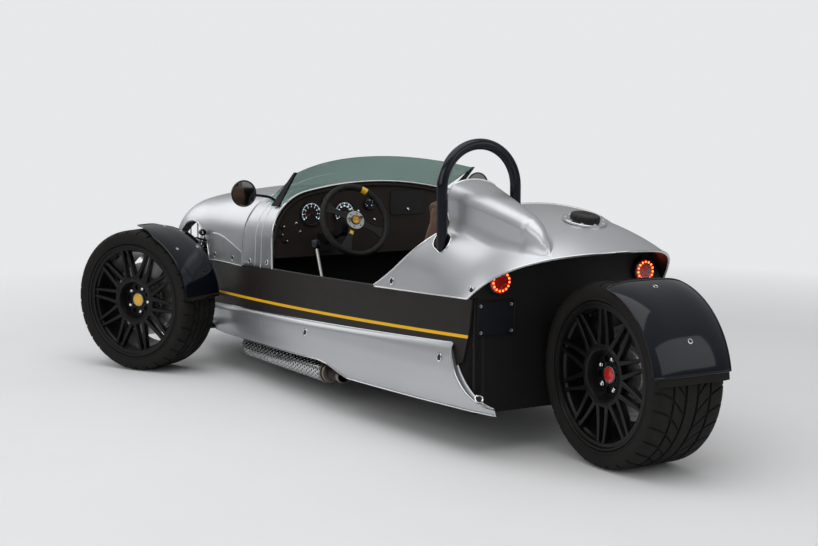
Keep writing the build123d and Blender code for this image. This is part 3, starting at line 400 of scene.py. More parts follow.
class Stock:
    """Mesh being drawn, in millimetres: points, faces and which finish each face takes."""

    def __init__(self):
        self.points = []
        self.faces = []
        self.marks = []

    def add(self, points, faces, mark=0, matrix=None):
        start = len(self.points)
        self.points += [matrix @ Vector(p) if matrix else Vector(p) for p in points]
        self.faces += [tuple(start + i for i in face) for face in faces]
        self.marks += [mark] * len(faces)
        return self

    def grid(self, rows, round_rows=False, round_columns=False, mark=0, matrix=None):
        """Quads between rows of points; round_rows joins each row's ends, round_columns the last row to the
        first."""
        count, width = len(rows), len(rows[0])
        faces = []
        for r in range(count if round_columns else count - 1):
            for c in range(width if round_rows else width - 1):
                a, b = r * width, (r + 1) % count * width
                faces.append((a + c, a + (c + 1) % width, b + (c + 1) % width, b + c))
        return self.add([p for row in rows for p in row], faces, mark, matrix)

    def turn(self, profile, steps=48, mark=0, matrix=None, closed=False):
        """Profile of (y, radius) points turned about y."""
        rows = [[polar(r, a, y) for a in around(steps)] for y, r in profile]
        return self.grid(rows, True, closed, mark, matrix)

    def closed(self, rows, mark=0, matrix=None):
        """Quads between closed rows, with a face over the first and the last."""
        self.grid(rows, True, False, mark, matrix)
        for row in (rows[0], rows[-1]):
            self.add(row, [tuple(range(len(row)))], mark, matrix)
        return self

    def button(self, where, along, profile, steps=20, mark=0):
        """Profile of (height, radius) turned about an axis that stands at a place."""
        return self.turn(profile, steps, mark, aimed(where, along))

    def pipe(self, path, radius, sides=12, mark=0, ends=True):
        """Round bar along a path; radius is a number or one for each point."""
        path = [Vector(p) for p in path]
        radii = radius if isinstance(radius, (list, tuple)) else [radius] * len(path)
        rows, across = [], None
        for i, p in enumerate(path):
            run = (path[min(i + 1, len(path) - 1)] - path[max(i - 1, 0)]).normalized()
            if across is None:
                across = run.orthogonal().normalized()
            across = (across - run * across.dot(run)).normalized()
            other = run.cross(across)
            rows.append([p + (across * cos(t) + other * sin(t)) * radii[i]
                         for t in around(sides)])
        return self.closed(rows, mark) if ends else self.grid(rows, True, False, mark)

    def slab(self, outline, start, end, mark=0, matrix=None, chamfer=0.0):
        """Outline of (u, v) points carried along the third axis from start to end, its edges eased."""
        middle = Vector((sum(p[0] for p in outline), sum(p[1] for p in outline))) / len(outline)
        rows = []
        for depth, ease in ((start, chamfer), (start + chamfer, 0), (end - chamfer, 0), (end, chamfer)):
            row = []
            for u, v in outline:
                inward = (middle - Vector((u, v))).normalized() * ease
                row.append((u + inward.x, v + inward.y, depth))
            rows.append(row)
        return self.closed(rows, mark, matrix)

    def keep(self, inside):
        """Cuts every face where inside(point) passes zero and keeps the part above zero."""
        value = [inside(p) for p in self.points]
        cuts = {}

        def crossing(a, b):
            key = (min(a, b), max(a, b))
            if key not in cuts:
                low, high = (self.points[a], self.points[b])
                if value[a] < 0:
                    low, high = high, low
                for _ in range(12):
                    middle = (low + high) / 2
                    if inside(middle) >= 0:
                        low = middle
                    else:
                        high = middle
                self.points.append(low)
                value.append(0.0)
                cuts[key] = len(self.points) - 1
            return cuts[key]

        faces, marks = [], []
        for face, mark in zip(self.faces, self.marks):
            kept = []
            for a, b in zip(face, face[1:] + face[:1]):
                if value[a] >= 0:
                    kept.append(a)
                if (value[a] >= 0) != (value[b] >= 0) and 0.0 not in (value[a], value[b]):
                    kept.append(crossing(a, b))
            if len(kept) >= 3:
                faces.append(tuple(kept))
                marks.append(mark)
        self.faces, self.marks = faces, marks
        return self

    def edge_loops(self):
        """Chains of points along the open edges."""
        seen = {}
        for face in self.faces:
            for a, b in zip(face, face[1:] + face[:1]):
                key = (min(a, b), max(a, b))
                seen[key] = seen.get(key, 0) + 1
        follow = {}
        for (a, b), uses in seen.items():
            if uses == 1:
                follow.setdefault(a, []).append(b)
                follow.setdefault(b, []).append(a)
        loops = []
        while follow:
            start = next(iter(follow))
            chain = [start]
            while True:
                onward = follow.get(chain[-1])
                if not onward:
                    follow.pop(chain[-1], None)
                    break
                step = onward.pop()
                if not onward:
                    follow.pop(chain[-1], None)
                back = follow.get(step, [])
                if chain[-1] in back:
                    back.remove(chain[-1])
                chain.append(step)
                if step == start:
                    if step in follow and not follow[step]:
                        follow.pop(step)
                    break
            loops.append([self.points[i] for i in chain])
        return loops

    def made(self, name, finishes, body, replaces=(), matrix=CAR, sharp=38, wall=None, slot=None,
             lined=False):
        """The piece itself, on its body. wall is a skin's (thickness, offset); a lined skin has its last
        finish inside."""
        mesh = bpy.data.meshes.new(name)
        work = bmesh.new()
        handles = [work.verts.new(p) for p in self.points]
        for face, mark in zip(self.faces, self.marks):
            if len(set(face)) >= 3:
                try:
                    work.faces.new([handles[i] for i in face]).material_index = mark
                except ValueError:
                    pass
        bmesh.ops.remove_doubles(work, verts=work.verts, dist=WELD)
        bmesh.ops.delete(work, geom=[v for v in work.verts if not v.link_faces], context="VERTS")
        bmesh.ops.recalc_face_normals(work, faces=work.faces)
        work.to_mesh(mesh)
        work.free()
        mesh.transform(matrix)
        if matrix.determinant() < 0:
            mesh.flip_normals()
        for finish in finishes if isinstance(finishes, (list, tuple)) else [finishes]:
            mesh.materials.append(finish)
        mesh.polygons.foreach_set("use_smooth", [True] * len(mesh.polygons))
        mesh.set_sharp_from_angle(angle=radians(sharp))
        obj = bpy.data.objects.new(name, mesh)
        bpy.context.scene.collection.objects.link(obj)
        if wall:
            skin = obj.modifiers.new("wall", "SOLIDIFY")
            skin.thickness, skin.offset = wall[0] * MM, wall[1]
            skin.use_even_offset = True
            skin.material_offset = len(mesh.materials) - 1 if lined else 0
        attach(obj, body)
        if replaces:
            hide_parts(*([replaces] if isinstance(replaces, str) else replaces))
        return obj


def arc_points(start, end, tangent, steps):
    """Points of the arc that leaves start along tangent and ends at end, start left out."""
    chord = end - start
    angle = atan2(chord.x * tangent.y - chord.y * tangent.x, chord.dot(tangent))
    if abs(angle) < 1e-7:
        return [start + chord * k / steps for k in range(1, steps + 1)]
    radius = chord.length / (2 * sin(angle))
    normal = Vector((-tangent.y, tangent.x))
    found = []
    for k in range(1, steps + 1):
        turn = 2 * angle * k / steps
        found.append(start + tangent * radius * sin(turn) - normal * radius * (1 - cos(turn)))
    return found


SIDE_STEPS = 22
CROWN_STEPS = 40


def half_outline(foot_y, foot_z, spring_y, spring_z, top_z):
    """Foot line, side arc and crown arc of one section, from the foot to the centreline."""
    foot, spring, top = Vector((foot_y, foot_z)), Vector((spring_y, spring_z)), Vector((0, top_z))
    rise = (spring - foot).normalized()
    flat = Vector((-1, 0))
    span = top - spring
    along = span.dot(rise + flat)
    spread = 1 - rise.dot(flat)
    reach = (sqrt(along ** 2 + 2 * spread * span.dot(span)) - along) / (2 * spread)
    join = (spring + top + (rise - flat) * reach) / 2
    line = [foot + (spring - foot) * k / 5 for k in range(6)]
    side = arc_points(spring, join, rise, SIDE_STEPS)
    crown = arc_points(top, join, -flat, CROWN_STEPS)[::-1][1:] + [top]
    return line + side + crown


class Shell:
    """Upper skin drawn through evenly spaced sections by a smooth curve along each row."""

    def __init__(self, table):
        self.start = table[0][0]
        self.step = (table[-1][0] - table[0][0]) / (len(table) - 1)
        sections = [half_outline(*row[1:]) for row in table]
        self.rows = len(sections[0])
        count = len(sections)
        self.knots = sections
        self.bends = []
        for row in range(self.rows):
            given = [sections[k][row] for k in range(count)]
            pull = [Vector((0, 0))] * count
            if count > 2:
                middle = [(given[k - 1] - 2 * given[k] + given[k + 1]) * 6 / self.step ** 2
                          for k in range(1, count - 1)]
                diagonal = [4.0] * len(middle)
                for k in range(1, len(middle)):
                    share = 1 / diagonal[k - 1]
                    diagonal[k] -= share
                    middle[k] = middle[k] - middle[k - 1] * share
                solved = [None] * len(middle)
                solved[-1] = middle[-1] / diagonal[-1]
                for k in range(len(middle) - 2, -1, -1):
                    solved[k] = (middle[k] - solved[k + 1]) / diagonal[k]
                pull = [Vector((0, 0)), *solved, Vector((0, 0))]
            self.bends.append(pull)

    def at(self, x, row):
        """(y, z) of a row at a station."""
        u = (x - self.start) / self.step
        k = min(max(int(u), 0), len(self.knots) - 2)
        b = u - k
        a = 1 - b
        low, high = self.knots[k][row], self.knots[k + 1][row]
        pull = self.bends[row]
        return low * a + high * b + (pull[k] * (a ** 3 - a) + pull[k + 1] * (b ** 3 - b)) * self.step ** 2 / 6

    def half_section(self, x):
        return [self.at(x, row) for row in range(self.rows)]

    def height(self, x, y):
        """Height of the skin over a point of the plan."""
        y = abs(y)
        last = None
        for p in reversed(self.half_section(x)):
            if p.x >= y:
                if last is None:
                    return p.y
                share = (y - last.x) / max(p.x - last.x, 1e-6)
                return last.y + (p.y - last.y) * share
            last = p
        return last.y

    def facing(self, x, y):
        """Outward direction of the skin over a point of the plan."""
        rise_x = (self.height(x + 4, y) - self.height(x - 4, y)) / 8
        rise_y = (self.height(x, y + 2) - self.height(x, y - 2)) / 4
        return Vector((-rise_x, -rise_y, 1)).normalized()

    def skin(self, stations):
        """Rows of points across the car, one for each station."""
        rows = []
        for x in stations:
            half = self.half_section(x)
            left = [Vector((x, p.x, p.y)) for p in half]
            rows.append(left + [Vector((x, -p.x, p.y)) for p in reversed(half[:-1])])
        return rows


def spaced(low, high, count):
    return [low + (high - low) * k / count for k in range(count + 1)]


def smooth_path(points, spacing):
    """Points spread evenly along a chain."""
    lengths = [0.0]
    for a, b in zip(points, points[1:]):
        lengths.append(lengths[-1] + (b - a).length)
    count = max(2, round(lengths[-1] / spacing))
    found, k = [], 0
    for n in range(count + 1):
        aim = lengths[-1] * n / count
        while k < len(points) - 2 and lengths[k + 1] < aim:
            k += 1
        run = lengths[k + 1] - lengths[k]
        found.append(points[k].lerp(points[k + 1], (aim - lengths[k]) / run if run > 0 else 0))
    return found


# Plan curve of the tub's sides
PLAN_CENTRE = (1620.7456, -10715.7261)
PLAN_RADIUS = 11207.9967


def half_width(x):
    return PLAN_CENTRE[1] + sqrt(PLAN_RADIUS ** 2 - (x - PLAN_CENTRE[0]) ** 2)


def plan_normal(x):
    lean = (x - PLAN_CENTRE[0]) / PLAN_RADIUS
    return Vector((lean, sqrt(1 - lean ** 2), 0))


def circle_through(first, second, third):
    """Centre and radius of the circle through three (x, z) points."""
    (ax, az), (bx, bz), (cx, cz) = first, second, third
    d = 2 * (ax * (bz - cz) + bx * (cz - az) + cx * (az - bz))
    a, b, c = ax ** 2 + az ** 2, bx ** 2 + bz ** 2, cx ** 2 + cz ** 2
    ux = (a * (bz - cz) + b * (cz - az) + c * (az - bz)) / d
    uz = (a * (cx - bx) + b * (ax - cx) + c * (bx - ax)) / d
    return ux, uz, hypot(ax - ux, az - uz)


SCREW = ((0.0, 9.5), (1.2, 9.0), (1.5, 7.6), (0.6, 6.2), (0.4, 3.4), (-1.4, 3.0), (-1.5, 0.01))
# Black disc laid over each screw's sunk socket: painted shade of the recess
SOCKET_SHADE_DISC = ((0.3, 6.0), (0.95, 5.6), (1.0, 0.01))


def screws(name, seats, scale=1.0):
    """Domed washer screws, the sunk socket under a black disc of painted shade: seats are (point, outward
    direction).
    """
    stock = Stock()
    for where, out in seats:
        stock.button(where, out, scaled(SCREW, scale, scale), 20)
        # black disc over the socket: painted shade
        stock.button(where, out, scaled(SOCKET_SHADE_DISC, scale, scale), 12, 1)
    stock.made(name, [CHROME, BLACK_SATIN], "chassis")


def rounded_box(left, right, low, high, corner, steps=6):
    found = []
    for cx, cy, first in ((right - corner, high - corner, 0), (left + corner, high - corner, 90),
                          (left + corner, low + corner, 180), (right - corner, low + corner, 270)):
        for k in range(steps + 1):
            a = radians(first + 90 * k / steps)
            found.append((cx + corner * cos(a), cy + corner * sin(a)))
    return found


# ---- wheels


FRONT_AXLE, KINGPIN_Y, KINGPIN_OFFSET = 2594, 723, 60
# Half width and radius of each tyre, and its rim's radius
FRONT_HALF, FRONT_RADIUS, FRONT_RIM = 114, 318.5, 254
REAR_HALF, REAR_RADIUS, REAR_RIM = 146, 318, 252


def hub_place(side):
    """Front wheel centre about its kingpin at the angle of rest, axle along y and outboard positive."""
    turn = Matrix.Translation((FRONT_AXLE, side * KINGPIN_Y, FRONT_RADIUS)) @ Matrix.Rotation(STEER_AT_REST,
                                                                                              4, "Z")
    flip = Matrix.Scale(-1, 4, (0, 1, 0)) if side < 0 else Matrix.Identity(4)
    return CAR @ turn @ flip @ Matrix.Translation((0, KINGPIN_OFFSET, 0))


REAR_HUB = CAR @ Matrix.Translation((0, 0, REAR_RADIUS))

TREAD_PITCHES = 32
# Steps round one pitch of the tread: share of the pitch, and how far down its cross groove
TREAD_STEPS = [(k / 10, 0) for k in range(8)] + [(0.79, 0), (0.815, 1), (0.92, 1), (0.945, 0)]
CROSS_GROOVE = 5.5
LONG_GROOVE = 6.5


def tyre_profile(half, outer, lip, grooves):
    """Outboard half of the section from the bead to the middle: y, radius, share of the cross groove."""
    points = [
        (half - 14, 228.8, 0), (half - 14, lip + 1.6, 0), (half - 9, lip + 3, 0), (half - 4.6, lip + 4.6, 0),
        (half - 3, lip + 7, 0), (half - 3.2, lip + 9.6, 0), (half - 5.2, lip + 12, 0),
        (half - 3.2, lip + 17, 0),
        (half - 1.1, lip + 24, 0), (half, (lip + outer) / 2 + 3, 0), (half - 0.8, outer - 24, 0),
        (half - 2.6, outer - 18.5, 0.2), (half - 5.6, outer - 13.2, 0.7), (half - 10.5, outer - 8.2, 1),
        (half - 17, outer - 4.4, 1), (half - 26, outer - 2.1, 1), (half - 36, outer - 1.1, 1)]
    last = half - 36
    for centre in grooves:
        for k in (1, 2):
            points.append((last + (centre + 5 - last) * k / 3, outer - 0.8, 1))
        points += [(centre + 5, outer - 0.6, 1), (centre + 3.9, outer - LONG_GROOVE, 0),
                   (centre - 3.9, outer - LONG_GROOVE, 0), (centre - 5, outer - 0.3, 1)]
        last = centre - 5
    share = 0 if last < 30 else 1
    points[-1] = (*points[-1][:2], share)
    return points + [(last * 2 / 3, outer - 0.1, share), (last / 3, outer, share), (0, outer, share)]


def build_tyre(name, node, body, matrix, half, outer, lip, grooves, sweep):
    near = tyre_profile(half, outer, lip, grooves)
    section = near + [(-y, r, share) for y, r, share in reversed(near[:-1])]
    normals = []
    for k in range(len(section)):
        before, after = section[max(k - 1, 0)], section[min(k + 1, len(section) - 1)]
        run = Vector((after[0] - before[0], after[1] - before[1])).normalized()
        normals.append(Vector((-run.y, run.x)) * (1 if run.x < 0 else -1) if abs(run.x) > 0.02
                       else Vector((copysign(1, section[k][0]), 0)))
    rows = []
    for pitch in range(TREAD_PITCHES):
        for share, down in TREAD_STEPS:
            angle = (pitch + share) * tau / TREAD_PITCHES
            row = []
            for (y, r, cross), normal in zip(section, normals):
                lean = sweep * (1 - (1 - min(1, abs(y) / half)) ** 2) / outer
                depth = CROSS_GROOVE * cross * down
                y, r = y - abs(normal.x) * copysign(depth, y), r - abs(normal.y) * depth
                row.append((r * sin(angle + lean), y, r * cos(angle + lean)))
            rows.append(row)
    Stock().grid(rows, True, True).made(name, RUBBER, body, node, matrix, sharp=32)


def pierced_ring(stock, inner, outer, count, hole_at, hole, y, depth, phase=0.0, mark=0, floor=True, flip=1):
    """Flat ring with a round hole in each of its sectors; each hole has a wall, and a floor if blind."""
    half = pi / count
    for number in range(count):
        middle = phase + number * 2 * half
        centre = Vector((hole_at * sin(middle), hole_at * cos(middle)))

        def within(p):
            radius = p.length
            away = (atan2(p.x, p.y) - middle + pi) % tau - pi
            return inner <= radius <= outer and abs(away) <= half
        corners = [Vector((r * sin(middle + s * half), r * cos(middle + s * half)))
                   for r in (inner, outer) for s in (-1, 1)]
        angles = sorted([k * tau / 28 for k in range(28)]
                        + [atan2(c.y - centre.y, c.x - centre.x) % tau for c in corners])
        rim_row, edge_row = [], []
        for angle in angles:
            way = Vector((cos(angle), sin(angle)))
            low, high = hole, 2 * outer
            for _ in range(22):
                mid = (low + high) / 2
                low, high = (mid, high) if within(centre + way * mid) else (low, mid)
            rim_row.append(centre + way * hole)
            edge_row.append(centre + way * low)
        rows = [[(p.x, y, p.y) for p in edge_row], [(p.x, y, p.y) for p in rim_row],
                [(p.x, y - flip * depth, p.y) for p in rim_row]]
        stock.grid(rows, True, False, mark)
        if floor:
            stock.add(rows[-1], [tuple(range(len(angles)))], mark)
    return stock


SPOKE_PAIRS = 10
HUB_RING, HUB_DISH, DISH_DEPTH = 108.0, 85.0, 38.0
LUG_CIRCLE, LUGS = 56.0, 5


# Places along a spoke: share of its length, and how far it flares there
SPOKE_FLARES = ((0, 3.4), (0.05, 1.6), (0.11, 0.4), (0.3, 0), (0.5, 0), (0.72, 0), (0.88, 0.5), (0.95, 1.8),
                (1, 4))


def spoke(stock, face, angle_in, angle_out, foot_r, head_r):
    """One tapered cast bar from the hub ring to the rim, its front edges eased, flared at both ends."""
    foot, head = polar(foot_r, angle_in), polar(head_r, angle_out)
    across = (head - foot).cross(Vector((0, 1, 0))).normalized()
    rows = []
    for t, flare in SPOKE_FLARES:
        centre = foot.lerp(head, t)
        width = 8.6 - 3.0 * t + flare
        front = face - 3 * sin(pi * t) + 5 * t
        back = face - 30 + 6 * t
        rows.append([centre + across * u + Vector((0, v, 0)) for u, v in (
            (width * 0.72, back), (width * 0.96, back + 5), (width, front - 2.4), (width - 1.9, front),
            (-width + 1.9, front), (-width, front - 2.4), (-width * 0.96, back + 5), (-width * 0.72, back))])
    stock.closed(rows)


def build_rim(name, node, body, matrix, half, lip, phase, lug_phase, cap_finish):
    """Black cast wheel: barrel, thin lip, ten spoke pairs, dished hub, chrome nuts and a coloured cap."""
    stock = Stock()
    face, seat, bead = half - 22, 228.3, half - 13.7
    stock.turn([
        (bead, lip), (half - 7.6, lip + 0.2), (half - 6.5, lip - 1), (half - 6.3, lip - 7.5),
        (half - 7.4, lip - 9.2),
        (half - 12.5, lip - 10.5), (half - 14, lip - 12), (half - 14.6, lip - 16), (half - 19, lip - 18.5),
        (half - 30, 226), (half - 34, 221.5), (half - 60, 213.5), (10 - half, 214), (-bead, 219),
        (8 - half, lip - 3),
        (7.2 - half, lip), (-bead, lip), (-bead, seat), (20 - half, seat), (bead - 6, seat), (bead, seat)],
        144, closed=True)
    for pair in range(SPOKE_PAIRS):
        middle = radians(phase) + pair * tau / SPOKE_PAIRS
        for side in (-1, 1):
            spoke(stock, face, middle + side * radians(14), middle + side * radians(3.4), 101, lip - 14)
    dish = face - DISH_DEPTH
    stock.turn([(dish, 76), (dish + 12, 79), (face - 5, 83), (face - 1, HUB_DISH), (face, HUB_DISH + 2),
                (face, HUB_RING - 9), (face - 1.2, HUB_RING - 7.8), (face - 1.4, HUB_RING - 5),
                (face - 0.4, HUB_RING - 4),
                (face - 0.6, HUB_RING - 1.5), (face - 3, HUB_RING), (face - 34, HUB_RING),
                (dish - 14, HUB_RING - 8),
                (dish - 14, 30)], 144)
    turn = radians(lug_phase)
    pierced_ring(stock, 30, 76, 2 * LUGS, LUG_CIRCLE, 13.6, dish, 9, turn)
    stock.turn([(dish, 30), (dish + 7, 30), (dish + 8.5, 29), (dish + 8.5, 26.4), (dish + 7, 26)], 64, 2)
    stock.turn([(dish + 7, 26), (dish + 9.4, 25.6), (dish + 10.8, 23), (dish + 11.6, 14), (dish + 12, 0.1)],
               64, 3)
    for number in range(2 * LUGS):
        angle = turn + number * pi / LUGS
        spot = Matrix.Translation(polar(LUG_CIRCLE, angle, dish))
        if number % 2:
            stock.turn([(-8.9, 10), (-6.5, 9.2), (-6, 5.2), (-8.7, 4.8), (-8.8, 0.1)], 24, 0, spot)
        else:
            stock.turn([(-8.8, 11.6), (-6.8, 11.4), (-6.2, 10.2), (6, 10), (7.6, 8.6)], 6, 1, spot)
            stock.turn([(7.4, 8.3), (10.6, 7), (12.8, 4), (13.4, 0.1)], 24, 1, spot)
    valve = radians(phase + 18)
    base, lean = polar(216, valve, half - 44), polar(-0.35, valve, 1)
    stock.button(base, lean, ((-6, 5.5), (3, 5), (5, 3.6), (20, 3.4), (20.2, 4.4), (29, 4.3), (30, 3.2),
                              (30.2, 0.1)), 16, 0)
    stock.made(name, [RIM_BLACK, CHROME, STEEL, cap_finish], body, node, matrix, sharp=30)


def build_disc(name, node, body, matrix, half):
    """Drilled and vented brake disc on its hat, with the stub axle behind."""
    stock = Stock()
    for y, sign in ((12, 1), (-12, -1)):
        pierced_ring(stock, 96, 131, 34, 114, 3.6, y, 8, 0, 0, False, sign)
        pierced_ring(stock, 131, 165, 34, 148, 3.6, y, 8, pi / 34, 0, False, sign)
        stock.turn([(y, 165), (y - sign * 0.8, 165.2), (y - sign * 7.4, 165.2), (y - sign * 8, 164),
                    (y - sign * 8, 96),
                    (y, 96)], 120)
    for angle in around(34):
        across = Vector((cos(angle), 0, -sin(angle))) * 2.2
        out = polar(1, angle)
        corners = [out * 98 - across, out * 98 + across, out * 162 + across, out * 162 - across]
        stock.grid([[c + Vector((0, y, 0)) for c in corners] for y in (-4.2, 4.2)], True)
    back = half - 22 - DISH_DEPTH - 14.3
    stock.turn([(11, 96), (13.5, 94), (14, 80), (17, 76.5), (back - 5, 74.6), (back - 1.2, 73), (back, 69),
                (back, 30)], 96, 1)
    stock.turn([(-12, 96), (-12, 60), (-40, 40), (-60, 24), (-94, 24), (-95, 23), (-95, 0.1)], 48, 1)
    for angle in around(10):
        stock.button(polar(87, angle, 13.6), (0, 1, 0),
                     ((-1, 6.5), (1.8, 6.3), (2.4, 5.2), (2.4, 0.1)), 12, 2)
    stock.made(name, [DISC, ALLOY, CHROME], body, node, matrix, sharp=34)


for side_name, side in (("left", 1), ("right", -1)):
    wheel_body, hub = "wheel_front_" + side_name, hub_place(side)
    build_tyre("front_tyre_" + side_name, "tyre_front_" + side_name, wheel_body, hub,
               FRONT_HALF, FRONT_RADIUS, FRONT_RIM, (54, 18), 92)
    build_rim("front_wheel_" + side_name, "rim_front_" + side_name, wheel_body, hub,
              FRONT_HALF, FRONT_RIM, 12.3, -25, YELLOW)
    build_disc("front_disc_" + side_name, "disc_front_" + side_name, wheel_body, hub, FRONT_HALF)
build_tyre("rear_tyre", "tyre_rear", "wheel_rear", REAR_HUB, REAR_HALF, REAR_RADIUS, REAR_RIM, (76, 24), 128)
build_rim("rear_wheel", "rim_rear", "wheel_rear", REAR_HUB, REAR_HALF, REAR_RIM, 0, -12, RED)
build_disc("rear_disc", "disc_rear", "wheel_rear", REAR_HUB, REAR_HALF)


# ---- body skins


def evenly(start, end, rows):
    return [(start + (end - start) * k / (len(rows) - 1), *row) for k, row in enumerate(rows)]


REAR_DECK = Shell(evenly(30, 955, (
    (322, 592, 316, 598, 716), (415, 574, 408, 584, 793), (430, 549, 421, 573, 832),
    (446, 544, 440, 607, 847),
    (465, 539, 458, 628, 857), (482, 536, 474, 640, 862))))
COWL = Shell([(1830, 487, 511, 487, 635, 870), (2200, 462, 486, 452, 616, 838)])
BONNET_TABLE = evenly(2203, 3280, (
    (462, 485, 452, 616, 838), (461, 484, 450, 610, 826), (456, 478, 443, 598, 808),
    (449, 464, 437, 574, 784),
    (437, 437, 426, 540, 755), (356, 405, 344, 485, 696)))
BONNET = Shell(BONNET_TABLE)
NOSE = Shell(evenly(BONNET_TABLE[2][0], 3280, (
    (456, -486, 446, -420, -150), (449, -472, 440, -390, -150), (437, -448, 424, -360, -166),
    (356, -420, 342, -350, -262))))
SKIN_WALL = (6, -1)
# Arcs in side view as centre x, centre z, radius
TAIL_ARC = circle_through((60, 723), (247, 652), (386, 536))
MOUTH_ARC = circle_through((955, 537), (785, 640), (618, 786))
ROCKER_ARC = circle_through((450, 372), (391, 262), (234, 192))


def past_arc(p, arc):
    return hypot(p.x - arc[0], p.z - arc[1]) - arc[2]


def deck_side(p):
    """Above zero on the deck: behind the cockpit mouth, above the tail arc and the panel's edge."""
    if p.z > 786:
        mouth = (642 if p.z > 840 else 618 + (p.z - 786) * 24 / 54) - p.x
    else:
        mouth = past_arc(p, MOUTH_ARC)
    return min(past_arc(p, TAIL_ARC), mouth, p.z - 554.6 + (p.x - 350) * 0.0281)


def lined_skin(stock, name, node, wall=SKIN_WALL, sharp=30):
    """Silver sheet, black inside, in the place of a panel."""
    stock.made(name, [SILVER, BLACK_SATIN], "chassis", node, wall=wall, sharp=sharp, lined=True)


def hemmed(name, stock, radius):
    """Rolled bead along the open edges of a sheet."""
    rim = Stock()
    for loop in stock.edge_loops():
        rim.pipe(smooth_path(loop, 9), radius, 8, ends=False)
    rim.made(name, EDGE_METAL, "chassis")


def polyline_at(points, lengths, aim):
    for k in range(len(points) - 1):
        if lengths[k + 1] >= aim or k == len(points) - 2:
            run = lengths[k + 1] - lengths[k]
            return points[k].lerp(points[k + 1], min(1, max(0, (aim - lengths[k]) / run)) if run > 0 else 0)


def measured(points):
    lengths = [0.0]
    for a, b in zip(points, points[1:]):
        lengths.append(lengths[-1] + (b - a).length)
    return lengths


FAIRING_TIP, FAIRING_SWELL = 158, 124
FAIRING_TAIL, FAIRING_LENGTH = 172, 478


def fairing_size(x):
    """Half width, spring height, top height and fullness of the headrest fairing at a station."""
    share = min(1, max(0, (x - FAIRING_TIP) / FAIRING_SWELL))
    full = sqrt(max(0, 1 - (1 - share) ** 2))
    half = 30 + (x - FAIRING_TAIL) * 0.173
    t = (x - FAIRING_TAIL) / FAIRING_LENGTH
    return half * full, 772 + 112 * t + 14 * t * (1 - t), 808 + 176 * t - 35 * t * t, full


def deck_section(x):
    """Whole section of the deck at a station, the driver's headrest fairing blended into its left half."""
    half = REAR_DECK.half_section(x)
    deck = [Vector((p.x, p.y)) for p in half] + [Vector((-p.x, p.y)) for p in reversed(half[:-1])]
    width, spring, top, full = fairing_size(x)
    base = REAR_DECK.height(x, DRIVER_Y)
    if width > 2:
        lift = [base + full * (z - base) for z in (spring, top)]
        side = half_outline(width, base - 130, width * 0.985, lift[0], lift[1])
        bump = [Vector((DRIVER_Y + p.x, p.y)) for p in side]
        bump += [Vector((DRIVER_Y - p.x, p.y)) for p in reversed(side[:-1])]
        proud = [k for k, p in enumerate(bump) if p.y > REAR_DECK.height(x, p.x)]
        first, last = proud[0], proud[-1]
        bump = bump[first:last + 1]
        feet = [Vector((p.x, REAR_DECK.height(x, p.x))) for p in (bump[0], bump[-1])]
        left = [p for p in deck if p.x > bump[0].x + 0.5] + feet[:1]
        right = feet[1:] + [p for p in deck if p.x < bump[-1].x - 0.5]
    else:
        middle = Vector((DRIVER_Y, base))
        bump = [middle, middle]
        left = [p for p in deck if p.x > DRIVER_Y + 0.01] + [middle]
        right = [middle] + [p for p in deck if p.x < DRIVER_Y - 0.01]
    run_left, run_bump, run_right = measured(left), measured(bump), measured(right)
    soft = min(24, 0.22 * run_bump[-1])
    near, far = run_left[-1] - soft, soft
    found = [polyline_at(left, run_left, near * k / 44) for k in range(45)]
    found += bend(found[-1], left[-1], polyline_at(bump, run_bump, soft))
    crown = run_bump[-1] - 2 * soft
    found += [polyline_at(bump, run_bump, soft + crown * k / 40) for k in range(1, 41)]
    found += bend(found[-1], right[0], polyline_at(right, run_right, far))
    rest = run_right[-1] - far
    return found + [polyline_at(right, run_right, far + rest * k / 84) for k in range(1, 85)]


BEND_STEPS = 8


def bend(start, corner, end):
    """Points of the curve that rounds a corner, start left out."""
    found = []
    for k in range(1, BEND_STEPS + 1):
        t = k / BEND_STEPS
        found.append(start * (1 - t) ** 2 + corner * 2 * t * (1 - t) + end * t * t)
    return found


HOOP_STATION, HOOP_HALF, HOOP_TOP, HOOP_TUBE = 600, 156.5, 1096, 20


def hoop_hole(p):
    """Below zero within the slot that each leg of the hoop passes."""
    near = 1e3
    for leg in (-1, 1):
        run = max(abs(p.x - HOOP_STATION) - 16, 0)
        near = min(near, hypot(run, p.y - DRIVER_Y - leg * HOOP_HALF) - HOOP_TUBE - 3.5)
    return near


def build_deck():
    stations = sorted(set(spaced(30, 140, 20) + spaced(140, 300, 12) + spaced(300, 560, 30)
                          + spaced(560, 645, 34) + spaced(645, 955, 46)))
    rows = [[Vector((x, p.x, p.y)) for p in deck_section(x)] for x in stations]
    stock = Stock().grid(rows).keep(deck_side).keep(hoop_hole)
    lined_skin(stock, "rear_deck_skin", "rear_deck")
    hemmed("rear_deck_hem", stock, 3.4)
    seats = []
    for x, z in ((830, 569), (363, 583)):
        foot, spring_line = REAR_DECK.at(x, 0), REAR_DECK.at(x, 5)
        y = foot.x + (spring_line.x - foot.x) * (z - foot.y) / (spring_line.y - foot.y)
        seats += [(Vector((x, side * y, z)), Vector((0, side, 0.1))) for side in (1, -1)]
    screws("rear_deck_screws", seats, scale=1.7)


def on_shell(shell, x, row, side):
    """A seat for a screw on a shell: the place on one of its rows, and the way out."""
    p, above, below = shell.at(x, row), shell.at(x, row + 1), shell.at(x, row - 1)
    ahead, behind = shell.at(x + 5, row), shell.at(x - 5, row)
    along = Vector((10, ahead.x - behind.x, ahead.y - behind.y))
    up = Vector((0, above.x - below.x, above.y - below.y))
    out = along.cross(up).normalized()
    if out.y < 0:
        out = -out
    return Vector((x, side * p.x, p.y)), Vector((out.x, side * out.y, out.z))


